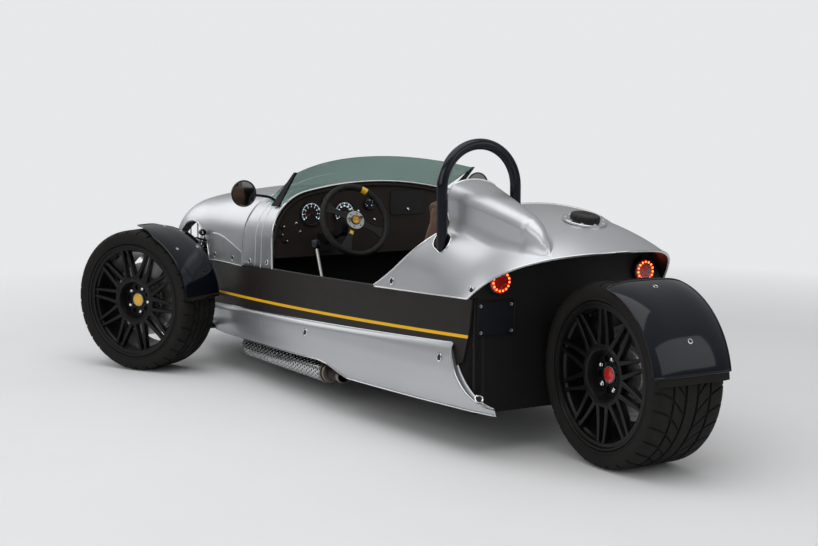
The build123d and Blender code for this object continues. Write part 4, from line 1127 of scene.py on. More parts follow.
def grooved(shell, stations, depth_at):
    """Rows of a shell, pushed inward by depth_at(x, share of the way up)."""
    rows = []
    for x in stations:
        row = shell.skin([x])[0]
        count = len(row)
        moved = []
        for k, p in enumerate(row):
            before, after = row[max(k - 1, 0)], row[min(k + 1, count - 1)]
            run = (after - before).normalized()
            inward = Vector((0, run.z, -run.y))
            if inward.dot(Vector((0, -p.y, 500 - p.z))) < 0:
                inward = -inward
            moved.append(p + inward * depth_at(x, 1 - abs(2 * k / (count - 1) - 1)))
        rows.append(moved)
    return rows


COWL_GROOVES = (2040, 1966)
GROOVE_HALF, GROOVE_DEPTH = 3.4, 3.2


def build_cowl():
    def depth(x, up):
        nearest = min(abs(x - g) for g in COWL_GROOVES)
        fade = min(1, max(0, (0.86 - up) / 0.1))
        return GROOVE_DEPTH * max(0, 1 - (nearest / GROOVE_HALF) ** 2) * fade
    stations = set(spaced(1830, 2200, 24))
    for groove in COWL_GROOVES:
        stations |= set(spaced(groove - GROOVE_HALF, groove + GROOVE_HALF, 8))
    rows = grooved(COWL, sorted(stations), depth)
    lined_skin(Stock().grid(rows), "cowl_skin", "cowl")
    lip = Stock()
    lip.pipe(smooth_path(COWL.skin([1829])[0], 8), 6.5, 12)
    lip.made("cockpit_bead", EDGE_METAL, "chassis")
    gap = Stock()
    gap.grid([COWL.skin([2199])[0], [Vector((2205, p.y * 0.985, p.z - 7)) for p in COWL.skin([2200])[0]]])
    gap.made("bonnet_seam", BLACK_SATIN, "chassis")


def suspension_side(p):
    """Below zero in the opening over each front suspension."""
    if abs(p.y) < 300:
        return 1.0
    low, high = CUT_LINE[0][0], CUT_LINE[-1][0]
    if not low < p.x < high:
        return max(low - p.x, p.x - high)
    return p.z - cut_height(p.x)


CUT_LINE = ((2590, 440), (2592, 500), (2632, 549), (2700, 600), (2800, 632), (2880, 637), (2960, 620),
            (3020, 560))


def cut_height(x):
    """Top of the suspension opening, rounded between its corners."""
    total, weight = 0.0, 0.0
    for k in range(-6, 7):
        at = min(max(x + k * 5, 2590.5), 3019.5)
        for (x0, z0), (x1, z1) in zip(CUT_LINE, CUT_LINE[1:]):
            if at <= x1:
                share = (at - x0) / (x1 - x0)
                total += z0 + (z1 - z0) * share
                weight += 1
                break
    return total / weight


def build_bonnet():
    stations = sorted(set(spaced(2203, 2590, 26) + spaced(2590, 3020, 60) + spaced(3020, 3280, 24)))
    stock = Stock().grid(BONNET.skin(stations)).keep(suspension_side)
    lined_skin(stock, "bonnet_skin", "bonnet")
    hemmed("bonnet_hem", stock, 3.2)
    seats = [on_shell(BONNET, x, 1, side) for side in (1, -1) for x in (2520, 2310)]
    seats += [on_shell(COWL, x, 1, side) for side in (1, -1) for x in (2110, 1895)]
    screws("bonnet_screws", seats, scale=1.4)
    liner = Stock()
    for side in (1, -1):
        liner.grid([[(x, side * (257 + 3 * (k % 4 > 1)), 415 + (BONNET.height(x, 256) - 9 - 415) * k / 20)
                     for k in range(21)] for x in spaced(2470, 3120, 40)])
    liner.made("engine_bay_liners", BLACK_SATIN, "chassis", wall=(2, 0), sharp=25)
    # Thin darker grey sheets along the bonnet's flanks: painted reflection of the dark shapes the flanks
    # mirror
    flank = Stock()
    rows = []
    for x in spaced(2212, 2578, 30):
        share = (x - 2212) / 366
        top = 1.9 + 3.3 * sin(pi * min(1, 0.14 + 0.86 * share) * 0.5) ** 1.3
        row = []
        for k in range(13):
            where = top * k / 12
            low = int(where)
            a, b = BONNET.at(x, low), BONNET.at(x, low + 1)
            p = a + (b - a) * (where - low)
            row.append(Vector((x, p.x + 0.9, p.y)))
        rows.append(row)
    flank.grid(rows)
    flank.grid([[Vector((p.x, -p.y, p.z)) for p in row] for row in rows])
    flank.made("flank_reflection_sheets", FLANK_REFLECTION_GREY, "chassis", wall=(0.9, -1), sharp=30)


def build_nose():
    flipped = []
    for x in spaced(3007.6, 3280, 30):
        flipped.append([Vector((p.x, p.y, -p.z)) for p in NOSE.skin([x])[0]])

    def below_bonnet(p):
        return BONNET.at(p.x, 0).y - 0.4 - p.z
    lined_skin(Stock().grid(flipped).keep(below_bonnet), "nose_skin", "nose")


ROCKER_CURVE = ((0, 392), (7, 385), (16, 350), (22, 290), (23, 235), (18, 190), (4, 150), (-16, 120))
ROCKER_FOOT = ((200, 172), (345, 166), (916, 157), (1150, 153), (1286, 190), (1360, 197), (2420, 160),
               (2470, 168),
               (2518, 200))


def straight(table, x):
    for (x0, z0), (x1, z1) in zip(table, table[1:]):
        if x <= x1:
            break
    return z0 + (z1 - z0) * (x - x0) / (x1 - x0)


def rocker_out(z, top):
    """How far the rocker's skin stands out of the side panel's face."""
    table = [(h, out) for out, h in reversed(ROCKER_CURVE)]
    smooth = sum(straight(table, min(max(z + k * 6, 120), 392)) for k in range(-2, 3)) / 5
    roll = min(1, max(0, (top - z) / 24))
    return smooth * sqrt(max(0, 1 - (1 - roll) ** 2)) + 0.6


def beside(x, out, z, side=1):
    """A point on the car's side: out of the panel's face at a station."""
    normal = plan_normal(x)
    return Vector((x + normal.x * out, side * (half_width(x) + normal.y * out), z))


def rocker_top(x):
    return 392.4 - (x - 420) * 0.05082


def build_rockers():
    stock, caps, hems, seats = Stock(), Stock(), Stock(), []
    for side in (1, -1):
        rows = []
        for x in spaced(200, 2518, 190):
            top = min(rocker_top(x), 286 - (x - 2506) * 1.33 if x > 2506 else 1e3)
            foot = straight(ROCKER_FOOT, x)
            heights = [top - (top - foot) * (k / 34) ** 1.45 for k in range(35)]
            rows.append([beside(x, rocker_out(z, top), z, side) for z in heights])
        part = Stock().grid(rows).keep(lambda p: min(past_arc(p, ROCKER_ARC), p.x - 205))
        for loop in part.edge_loops():
            hems.pipe(smooth_path(loop, 10), 2.6, 8, ends=False)
        stock.add(part.points, part.faces)
        outer, inner = [], []
        ux, uz, r = ROCKER_ARC
        start, end = atan2(372 - uz, 450 - ux), atan2(192 - uz, 234 - ux)
        for k in range(41):
            angle = start + (end - start) * k / 40
            x, z = ux + r * cos(angle), uz + r * sin(angle)
            outer.append(beside(x, rocker_out(z, rocker_top(x)), z, side))
            inner.append(beside(x + 2, -8, z - 1, side))
        middle = [a.lerp(b, 0.12) + Vector((5, 0, -4)) for a, b in zip(outer, inner)]
        late = [a.lerp(b, 0.9) + Vector((7, 0, -6)) for a, b in zip(outer, inner)]
        caps.grid([outer, middle, late, inner])
        for x, z in ((2482, 266), (1465, 293), (511, 332)):
            seats.append((beside(x, rocker_out(z, rocker_top(x)), z, side), Vector((0, side, 0.06))))
        seats.append((Vector((293, side * 425, 217)), Vector((-0.72, side * 0.2, 0.6))))
    lined_skin(stock, "rocker_skins", "rocker_panels", (4, -1), 32)
    caps.made("rocker_tails", SILVER, "chassis", wall=(3, -1), sharp=32)
    hems.made("rocker_hems", EDGE_METAL, "chassis")
    screws("rocker_screws", seats, scale=1.8)


build_deck()
build_cowl()
build_bonnet()
build_nose()
build_rockers()


# ---- fenders, hoop and fittings


def fender_sheet(radius, angles, y_limits, half, drop, power, centre=(0, 0)):
    """Crowned sheet round the axle: rows from front to back, each between the y limits at its station."""
    rows = []
    for angle in angles:
        x0 = radius * sin(angle)
        low, high = y_limits(x0)
        row = []
        for k in range(41):
            t = k / 40
            y = low + (high - low) * (0.5 - 0.5 * cos(pi * t)) * 0.6 + (high - low) * t * 0.4
            r = radius - drop * abs(y / half) ** power
            row.append(Vector((centre[0] + r * sin(angle), y, centre[1] + r * cos(angle))))
        rows.append(row)
    return rows


def border(rows):
    return (rows[0] + [row[-1] for row in rows[1:]] + rows[-1][::-1][1:]
            + [row[0] for row in rows[::-1][1:]])


def front_limits(x):
    low = -124.5 if x > -224.4 else -140 + (-205 - max(x, -240)) * 0.8
    high = 114 if x < -143.2 else 125 - (min(x, -10) + 168) * 70 / 158
    if x > -10:
        high -= (x + 10) * 0.6
    return low, high


def build_front_fender(side_name, side):
    matrix = hub_place(side)
    body = "knuckle_" + side_name
    angles = [radians(2.5 - 88.5 * k / 60) for k in range(61)]
    rows = fender_sheet(337, angles, front_limits, 119, 12, 3)
    stock = Stock().grid(rows)
    stock.made("front_fender_" + side_name, BLACK_GLOSS, body, "fender_front_" + side_name, matrix,
               wall=(3.4, -1), sharp=30)
    stay = Stock()
    arc = [(334 * sin(a), 334 * cos(a)) for a in (radians(-23.5 - 14.4 * k / 8) for k in range(9))]
    stay.slab([(-60, 78), *arc, (-205, 150), (-120, 78)], -124.5, -119.5, 0, SIDE_VIEW, 1.2)
    stay.slab([(-120, 80), (-2, 78), (0, 80), (0, 104), (-2, 106), (-80, 138)], -124.4, -119.7, 0, SIDE_VIEW,
              1)
    stay.slab([(-20, 79), (-1, 79), (-1, 103), (-20, 103)], -121, -81.4, 0, SIDE_VIEW, 1)
    stay.pipe(smooth_path(border(rows), 9), 2.8, 8, ends=False)
    for x, z in ((-150, 270), (-176, 190), (-110, 110)):
        stay.button((x, -124.5, z), (0, -1, 0), SCREW, 18, 1)
    for x, y in ((-60, -60), (-120, -100), (-230, 60), (-230, -80)):
        r = 337 - 12 * abs(y / 119) ** 3
        z = sqrt(r * r - x * x)
        stay.button((x, y, z), (x, 0, z), scaled(SCREW, 0.8, 0.8), 18, 1)
    stay.made("front_fender_stay_" + side_name, [BLACK_GLOSS, CHROME], body, matrix=matrix)


def build_rear_fender():
    centre = (-10, 312)
    angles = [radians(-10 - 71 * k / 70) for k in range(71)]
    rows = fender_sheet(335, angles, lambda x: (-152, 162), 162, 20, 4, centre)
    Stock().grid(rows).made("rear_fender_skin", BLACK_GLOSS, "chassis", "rear_fender", wall=(4, -1), sharp=30)
    trim = Stock()
    trim.pipe(smooth_path(border(rows), 9), 3.2, 8, ends=False)
    trim.slab([(-290, 372), (-296, 424), (-84, 348), (-84, 294)], -158, -153.4, 0, SIDE_VIEW, 1.2)
    trim.slab([(-112, 298), (-112, 340), (-86, 340), (-86, 298)], -189, -157, 0, SIDE_VIEW, 1)
    trim.made("rear_fender_stay", BLACK_GLOSS, "chassis")
    flap = Stock()
    lower = [radians(-79.6 - 6.6 * k / 14) for k in range(15)]
    flap.grid(fender_sheet(331.5, lower, lambda x: (-148, 150), 162, 20, 4, centre))
    flap.made("rear_fender_flap", RUBBER, "chassis", wall=(5, -1), sharp=30)
    seats = []
    for degrees_round, y in ((-20, 4), (-62, 4)):
        angle = radians(degrees_round)
        r = 335 - 20 * abs(y / 162) ** 4
        seats.append((Vector((centre[0] + r * sin(angle), y, centre[1] + r * cos(angle))),
                      Vector((sin(angle), y / 1500, cos(angle)))))
    screws("rear_fender_screws", seats)


def build_hoop():
    spring_z = HOOP_TOP - HOOP_TUBE - HOOP_HALF
    path = [(HOOP_STATION, DRIVER_Y + HOOP_HALF, z) for z in spaced(542, spring_z, 12)]
    path += [(HOOP_STATION, DRIVER_Y + HOOP_HALF * cos(a), spring_z + HOOP_HALF * sin(a))
             for a in (pi * k / 48 for k in range(1, 48))]
    path += [(HOOP_STATION, DRIVER_Y - HOOP_HALF, z) for z in spaced(spring_z, 542, 12)]
    stock = Stock().pipe(path, HOOP_TUBE, 36)
    wide = half_width(575) - 9.4
    stock.slab([(-wide, 512), (wide, 512), (wide, 552), (-wide, 552)], 575, 625, 0, END_VIEW, 3)
    for leg in (-1, 1):
        stock.turn([(0, 20), (0, 40), (4, 42), (9, 40), (11, 24), (16, 20.5)], 36, 0,
                   Matrix.Translation((HOOP_STATION, DRIVER_Y + leg * HOOP_HALF, 552)) @ UPRIGHT)
    stock.made("hoop_tube", BLACK_GLOSS, "chassis", "roll_hoop", sharp=40)


def build_mirrors():
    stock = Stock()
    for side in (1, -1):
        head = aimed((1893, side * 584, 831), (1, 0, 0))
        stock.turn([(4, 50), (0, 51), (-1.5, 54), (0.5, 56.6), (5, 57), (11, 55.5), (19, 47), (25, 31),
                    (28, 14),
                    (28.6, 0.1)], 64, 0, head)
        stock.turn([(3, 51), (2.4, 40), (1.6, 20), (1.4, 0.1)], 64, 1, head)
        path = [Vector((1914, side * 545, 822)), Vector((1930, side * 500, 818)),
                Vector((1946, side * 440, 808)),
                Vector((1956, side * 400, 800))]
        base = COWL.height(1956, 400)
        path[-1].z = base + 1
        stock.pipe(smooth_path(path, 14), 6, 14, 0)
        out = COWL.facing(1956, 400)
        stock.button((1956, side * 400, base - 1), (out.x, side * out.y, out.z),
                     ((0, 17), (3, 16.5), (6, 13), (10, 8), (10.5, 0.1)), 28, 0)
    stock.made("wing_mirrors", [BLACK_GLOSS, CHROME], "chassis", "mirrors")


def build_fuel_cap():
    centre = Vector((290, -10, REAR_DECK.height(290, 10)))
    up = REAR_DECK.facing(290, -10)
    stock = Stock()
    stock.button(centre, up, ((-4, 80), (2.4, 80), (4, 78), (4.4, 60), (5, 54), (4.6, 0.1)), 72, 0)
    rows = []
    for h, r, dip in ((4, 53, 0), (6, 54, 2.4), (17, 53, 2.4), (21, 50, 1.4), (23, 44, 0), (22.6, 24, 0),
                      (21.4, 20, 0),
                      (21.3, 0.1, 0)):
        rows.append([polar(r - dip * max(0, cos(18 * a)) ** 3, a, h) for a in around(144)])
    aim = aimed(centre, up)
    stock.grid(rows, True, False, 1, aim)
    for a in around(9):
        stock.button(aim @ polar(68, a + 0.2, 4), up, scaled(SCREW, 0.75, 0.75), 16, 2)
    stock.made("filler_cap", [EDGE_METAL, BLACK_SATIN, CHROME], "chassis", "fuel_cap", sharp=32)


def build_tail_lamps():
    stock = Stock()
    for side in (1, -1):
        aim = aimed((349.6, side * 315, 612), (-1, 0, 0))
        stock.turn([(0, 47.5), (14, 47.5), (18, 46), (18.5, 44), (17, 42.5)], 64, 0, aim)
        stock.turn([(16, 43), (20, 41), (23, 34), (24, 22), (24.4, 0.1)], 64, 1, aim)
        for ring, count, size, height, mark in ((33, 15, 3.6, 23.2, 2), (17, 6, 2.6, 24, 3)):
            for a in around(count):
                stock.button(aim @ polar(ring, a, height), (-1, 0, 0),
                             ((-1, size), (1, size), (2.4, size * 0.6), (3, 0.1)), 12, mark)
    stock.keep(lambda p: REAR_DECK.height(p.x, p.y) - 7.4 - p.z)
    stock.made("rear_lamps", [BLACK_PLASTIC, RED_LENS, RED_GLOW, RED], "chassis", "tail_lamps")


def build_headlamps():
    stock = Stock()
    for side in (1, -1):
        aim = aimed((3070, side * 526, 486), (1, 0, 0))
        stock.turn([(0, 0.1), (1.5, 20), (6, 40), (16, 57), (32, 70), (54, 76.5), (84, 77.4), (88, 76.6),
                    (90, 76)], 72, 0, aim)
        stock.turn([(87, 76.4), (89, 78), (98, 78), (103, 75.6), (104, 72), (102, 69.5), (97, 69)], 72, 1,
                   aim)
        stock.turn([(98, 69.4), (70, 62), (50, 46), (38, 22), (36, 0.1)], 72, 2, aim)
        stock.turn([(97, 69.6), (100, 60), (102, 36), (103, 0.1)], 72, 3, aim)
        stock.button(aim @ Vector((0, 40, 0)), (1, 0, 0), ((0, 12), (16, 11), (26, 8), (30, 0.1)), 20, 1)
        foot = Vector((3110, side * (BONNET.at(3110, 3).x - 2), 486))
        stock.pipe([foot, Vector((3110, side * 470, 486))], 14, 24, 0)
        stock.button(foot, (0, side, 0), ((-2, 30), (4, 29), (8, 22), (14, 16), (15, 14)), 36, 0)
    stock.made("head_lamps", [BLACK_GLOSS, CHROME, CHROME, LENS_GLASS], "chassis", "headlamps")


MUFFLER_FRONT, MUFFLER_REAR = Vector((2200, 424, 124)), Vector((1400, 430, 132))
SHIELD_RADIUS, HOLE_PITCH, HOLE_ROUND, HOLE_RADIUS = 44.4, 17, 17.4, 5.9


def build_exhaust():
    """Pierced bright shield over the silencer, its straps, and the rolled tail pipe."""
    run = MUFFLER_REAR - MUFFLER_FRONT
    length = run.length
    aim = CAR @ aimed(MUFFLER_FRONT, run)
    turns = [radians(-8 + 196 * j / 60) for j in range(61)]
    shield = Stock().grid([[polar(SHIELD_RADIUS, a, 12 + (length - 24) * k / 250) for a in turns]
                           for k in range(251)])

    def off_holes(p):
        girth = atan2(p.x, p.z) * SHIELD_RADIUS
        near = 1e3
        first = int(p.y // HOLE_PITCH)
        for k in (first, first + 1):
            shift = 0.5 if k % 2 else 0
            nearest = (round(girth / HOLE_ROUND - shift) + shift) * HOLE_ROUND
            near = min(near, hypot(p.y - k * HOLE_PITCH, girth - nearest))
        return near - HOLE_RADIUS if 24 < p.y < length - 24 else 1.0
    shield.keep(off_holes)
    shield.made("pierced_heat_shield", CHROME, "chassis", "heat_shield", aim, wall=(1.6, 1), sharp=40)
    fit = Stock()
    for y in (14, length - 14):
        fit.turn([(y - 9, 44), (y - 9, 47.2), (y - 7, 48), (y + 7, 48), (y + 9, 47.2), (y + 9, 44)], 72)
        fit.button((47, y, 8), (1, 0, 0), scaled(SCREW, 1, 0.7), 16, 1)
    fit.turn([(length - 2, 42.3), (length + 3, 42), (length + 7, 39), (length + 8, 30), (length + 8.4, 26)],
             72)
    fit.turn([(length + 92, 26), (length + 96, 28.4), (length + 100, 29), (length + 112, 29),
              (length + 115.4, 27.6),
              (length + 115, 24.5), (length + 108, 23.2), (length + 60, 23)], 64)
    fit.made("exhaust_bands", [EXHAUST, CHROME], "chassis", matrix=aim)


def spring(stock, foot, head, radius, wire, turns, mark=0):
    """Coil spring with closed ends between two perches."""
    run = head - foot
    across = run.orthogonal().normalized()
    other = run.normalized().cross(across)
    path = []
    steps = int(turns * 22)
    for k in range(steps + 1):
        t = k / steps
        rise = t - 0.05 * sin(tau * t) / tau
        a = t * turns * tau
        path.append(foot + run * (0.03 + 0.94 * rise) + (across * cos(a) + other * sin(a)) * radius)
    stock.pipe(path, wire, 10, mark)


def damper(stock, foot, head, radius, spring_from, spring_to):
    """Damper: body, rod, perches, spring and eyes; marks 0 body, 1 bright rod, 2 spring."""
    run = head - foot
    unit = run.normalized()
    length = run.length
    stock.button(foot, unit, ((0, radius * 0.9), (4, radius), (length * 0.55, radius),
                              (length * 0.55 + 3, radius * 0.8),
                              (length * 0.55 + 3.5, 7)), 36, 0)
    stock.button(foot, unit, ((length * 0.5, 7), (length - 2, 7), (length, 6)), 24, 1)
    for at, flip in ((spring_from, 1), (spring_to, -1)):
        stock.button(foot + unit * length * at, unit * flip,
                     ((-7, radius * 0.7), (-6, radius + 9), (0, radius + 10), (1, radius + 9), (1.5, radius)),
                     40, 0)
    spring(stock, foot + unit * length * spring_from, foot + unit * length * spring_to, radius + 6, 4.6, 7.5,
           2)
    for end in (foot, head):
        stock.turn([(-12, 8), (-12, 14), (-10, 15.5), (10, 15.5), (12, 14), (12, 8)], 28, 0,
                   Matrix.Translation(end) @ Matrix.Rotation(pi / 2, 4, "Z"))


def build_springs():
    stock = Stock()
    for side in (1, -1):
        foot, head = Vector((2654, side * 590, 188)), Vector((2654, side * 462, 598))
        damper(stock, foot, head, 18, 0.4, 0.92)
        hold = foot + (head - foot) * 0.82
        stock.pipe([Vector((2740, side * 355, 530)), Vector((2700, side * 400, 526)), hold], 10, 18, 0)
        stock.pipe([Vector((2654, side * 590, 190)), Vector((2654, side * 590, 177))], 13, 20, 0)
    stock.made("front_dampers", [BLACK_FRAME, STEEL, SPRING_PAINT], "chassis", "coilovers")
    rear = Stock()
    damper(rear, Vector((158, -212, 400)), Vector((326, -212, 524)), 14, 0.3, 0.93)
    rear.slab([(-232, 515), (-192, 515), (-192, 545), (-232, 545)], 321, 349, 0, END_VIEW, 2)
    rear.made("rear_damper", [BLACK_FRAME, STEEL, SPRING_PAINT], "chassis", "rear_shock")


for side_name, side in (("left", 1), ("right", -1)):
    build_front_fender(side_name, side)
build_rear_fender()
build_hoop()
build_mirrors()
build_fuel_cap()
build_tail_lamps()
build_headlamps()
build_exhaust()
build_springs()


def build_plate_trim():
    """Raised border and four screws on the bare plate."""
    stock = Stock()
    rim = [Vector((341.4, y, z)) for y, z in rounded_box(250, 400, 425, 540, 9, 4)]
    stock.pipe(rim + [rim[0]], 1.8, 8, ends=False)
    for y in (262, 388):
        for z in (436, 529):
            stock.button((341.6, y, z), (-1, 0, 0), scaled(SCREW, 0.8, 0.62), 18, 1)
    stock.made("plate_trim", [BLACK_SATIN, STEEL], "chassis")


build_plate_trim()


# ---- cockpit

COLUMN = (CAR @ Matrix.Translation((1560, DRIVER_Y, 727)) @ Matrix.Rotation(radians(-68), 4, "Y")
          @ Matrix.Rotation(radians(-90), 4, "Z"))
FACIA_X = 1835.0


def build_steering_wheel():
    """Leather rim, three black spokes, drilled silver boss plate, yellow button and the mark at the top."""
    stock = Stock()
    turned_by = Matrix.Rotation(radians(-28), 4, "Z")

    def ring(first, last, swell, mark):
        rows = []
        steps = max(4, int(abs(last - first) * 34))
        for k in range(steps + 1):
            a = first + (last - first) * k / steps
            row = []
            for t in around(20):
                thick = 13 + swell + 0.9 * cos(24 * a) * max(0, -cos(t)) * (1 if mark == 0 else 0)
                reach = 146 + thick * cos(t)
                row.append((reach * sin(a), reach * cos(a), thick * 1.08 * sin(t)))
            rows.append(row)
        stock.grid(rows, True, False, mark, turned_by)
    ring(0.09, tau - 0.09, 0, 0)
    ring(-0.09, 0.09, 0.5, 1)
    for angle in (pi / 2, pi, 3 * pi / 2):
        spin = turned_by @ Matrix.Rotation(-angle, 4, "Z")
        rows = []
        for k in range(13):
            t = k / 12
            y = 30 + t * 106
            width = 20 - 7 * sin(pi * min(1, t * 1.1)) + 6 * t ** 4
            sink = 3 - 5 * t
            rows.append([(-width, y, sink), (-width + 2, y, sink + 2.6), (width - 2, y, sink + 2.6),
                         (width, y, sink),
                         (width - 1, y, sink - 2.4), (-width + 1, y, sink - 2.4)])
        stock.grid(rows, True, False, 2, spin)
    upright = turned_by @ UPRIGHT
    stock.turn([(-2, 41), (2, 42), (5, 41), (5, 12)], 72, 2, upright)
    pierced_ring(stock, 20, 39, 6, 31, 3.4, 8, 4, 0.2, 3)
    plate = Stock()
    pierced_ring(plate, 20, 38.5, 6, 30, 3.2, 9, 5, 0.1, 0)
    plate.turn([(9, 38.5), (7.6, 39.6), (4, 39.8)], 72)
    stock.add(plate.points, plate.faces, 3, upright)
    stock.turn([(8, 21), (12, 21), (13.6, 19.6), (14, 17.4)], 56, 4, upright)
    stock.turn([(13.6, 17.4), (15, 15), (15.8, 8), (16, 0.1)], 56, 1, upright)
    stock.turn([(5, 30), (-4, 34), (-18, 26), (-38, 22), (-40, 20), (-40, 0.1)], 48, 2, upright)
    stock.slab([(-9, -66), (9, -66), (7, -50), (-7, -50)], 3.4, 6, 1, turned_by, 0.5)
    stock.made("driving_wheel", [BLACK_LEATHER, YELLOW, BLACK_SATIN, ALLOY, BLACK_GLOSS], "steering_wheel",
               "steering_wheel", COLUMN, sharp=36)


def figures(text, size):
    """Points and faces of a number, centred, lying in the plane of the dial."""
    curve = bpy.data.curves.new("figure", "FONT")
    curve.body, curve.size, curve.extrude = text, size, 0.35
    curve.align_x = curve.align_y = "CENTER"
    curve.resolution_u = 3
    sample = bpy.data.objects.new("figure", curve)
    mesh = bpy.data.meshes.new_from_object(sample)
    points = [v.co.copy() for v in mesh.vertices]
    faces = [tuple(p.vertices) for p in mesh.polygons]
    bpy.data.objects.remove(sample)
    bpy.data.meshes.remove(mesh)
    bpy.data.curves.remove(curve)
    return points, faces


# Local x to the driver's right, y up, z towards the driver
FACIA = (Matrix.Translation((FACIA_X, 0, 0))
         @ Matrix(((0, 0, -1, 0), (-1, 0, 0, 0), (0, 1, 0, 0), (0, 0, 0, 1))))


def gauge(stock, y, z, radius, labels, ticks, pointer):
    """Dial in the facia: bezel, face, graduations, figures, and pointer. Marks: 0 bezel, 1 face, 2 ink,
    3 pointer, 4 chrome."""
    seat = FACIA @ Matrix.Translation((-y, z, 0))
    upright = seat @ UPRIGHT
    stock.turn([(0, radius + 3), (5, radius + 3), (9, radius + 1), (10.5, radius - 2.5), (9, radius - 5),
                (3.4, radius - 6.5)], 72, 0, upright)
    stock.turn([(9.2, radius - 4.4), (9.9, radius - 3.4), (10.1, radius - 2.6)], 72, 4, upright)
    stock.turn([(2.6, radius - 5.5), (2.4, 0.1)], 72, 1, upright)
    reach = radius - 7.5
    sweep, start = radians(250), radians(-125)
    for k in range(ticks + 1):
        a = start + sweep * k / ticks
        major = k % 5 == 0
        long, wide = (0.16 if major else 0.08) * reach, (0.028 if major else 0.014) * reach
        spin = seat @ Matrix.Rotation(-a, 4, "Z")
        stock.slab([(-wide, reach - long), (wide, reach - long), (wide, reach), (-wide, reach)], 2.5, 3.1, 2,
                   spin)
    for k, text in enumerate(labels):
        a = start + sweep * k / (len(labels) - 1)
        points, faces = figures(text, 0.21 * reach)
        spot = seat @ Matrix.Translation((0.67 * reach * sin(a), 0.67 * reach * cos(a), 2.9))
        stock.add(points, faces, 2, spot)
    spin = seat @ Matrix.Rotation(-(start + sweep * pointer), 4, "Z")
    stock.slab([(-0.05 * reach, -0.2 * reach), (0.05 * reach, -0.2 * reach), (0.012 * reach, 0.86 * reach),
                (-0.012 * reach, 0.86 * reach)], 4, 4.8, 3, spin, 0.2)
    stock.turn([(3, 0.13 * reach), (6, 0.12 * reach), (6.4, 0.09 * reach), (6.5, 0.1)], 28, 0, upright)


def build_facia():
    stock = Stock()
    gauge(stock, 299, 739, 52, [str(n) for n in range(0, 9)], 40, 0.04)
    gauge(stock, 139, 736, 52, [str(n) for n in range(0, 161, 20)], 40, 0.0)
    gauge(stock, 227, 791, 21, ["0", "5", "10"], 10, 0.4)
    gauge(stock, 16, 771, 26, ["0", "4", "8"], 10, 0.5)
    for y, z in ((437, 690), (444, 655), (424, 628)):
        seat = FACIA @ Matrix.Translation((-y, z, 0)) @ UPRIGHT
        stock.turn([(0, 13), (3, 12.5), (4, 10), (4, 7)], 28, 0, seat)
        stock.turn([(4, 6.4), (12, 5), (20, 5.6), (24, 4.4), (25, 0.1)], 24, 4, seat)
    for y, z in ((370, 700), (232, 742), (70, 740), (352, 662), (90, 690), (-10, 700), (-60, 690)):
        seat = FACIA @ Matrix.Translation((-y, z, 0)) @ UPRIGHT
        stock.turn([(0, 6.4), (2, 6), (2.8, 4), (3, 0.1)], 20, 4, seat)
    stock.slab(rounded_box(90, 260, 716, 823, 12), 0, 4.5, 0, FACIA, 1.4)
    stock.turn([(4, 7), (9, 6.6), (10, 5), (10.2, 0.1)], 24, 4,
               FACIA @ Matrix.Translation((175, 740, 0)) @ UPRIGHT)
    stock.made("facia_dials", [BLACK_SATIN, DIAL_FACE, LIT_INK, RED, CHROME], "chassis", sharp=34)
    roll = Stock()
    edge = [Vector((1834, p.y * 0.975, p.z - 15)) for p in COWL.skin([1836])[0][6:-6]]
    roll.pipe(smooth_path(edge, 12), 9, 14)
    roll.made("facia_roll", DASH_LEATHER, "chassis")


def build_controls():
    """Lever with its gaiter, and two ribbed pedals on hangers."""
    stock = Stock()
    lever = [Vector((1503, 398, 410)), Vector((1530, 397, 470)), Vector((1566, 396, 556)),
             Vector((1592, 395, 618))]
    stock.pipe(smooth_path(lever, 12), 6.5, 18, 0)
    stock.button((1590, 395, 614), (0.38, -0.02, 0.92),
                 ((0, 8), (4, 12), (12, 17), (24, 18.5), (34, 16), (40, 10), (42, 0.1)), 32, 1)
    rows = []
    for k in range(22):
        t = k / 21
        pleat = 2.6 * cos(k * pi)
        size = 1 - 0.72 * t
        long, wide = 36 * size + pleat, 11 * size + 6 + pleat * 0.4
        rows.append([(1503 + 16 * t + long * cos(a), 424 - 26 * t + wide * sin(a), 404 + 62 * t)
                     for a in around(40)])
    stock.grid(rows, True, False, 2)
    face = half_width(1480) - 8.6
    stock.slab([(1478, 380), (1478, 402), (1530, 402), (1530, 380)], 388, face, 3, SIDE_VIEW, 1.5)
    for y in (170, 290):
        stock.pipe([(2173, y, 420), (2141, y, 420), (2110, y, 330), (2084, y, 248)], 8, 16, 3)
        pad = Matrix.Translation((2078, y, 240)) @ Matrix.Rotation(radians(20), 4, "Y")
        turn = pad @ END_VIEW
        stock.slab(rounded_box(-35, 35, -40, 40, 8), -4, 3, 0, turn, 1)
        for k in range(-3, 4):
            stock.slab(rounded_box(-30, 30, k * 10.5 - 3, k * 10.5 + 3, 2.5, 3), -7, -3.6, 2, turn, 0.8)
    stock.made("lever_and_pedals", [STEEL, BLACK_GLOSS, BLACK_LEATHER, BLACK_FRAME], "chassis", "controls",
               sharp=36)


# Metres: how far the cloth may swell, and the size of the cover's cells
SWELL, CELL, QUICK_CELL = 0.022, 0.0067, 0.012
CLOTH_FRAMES = 20


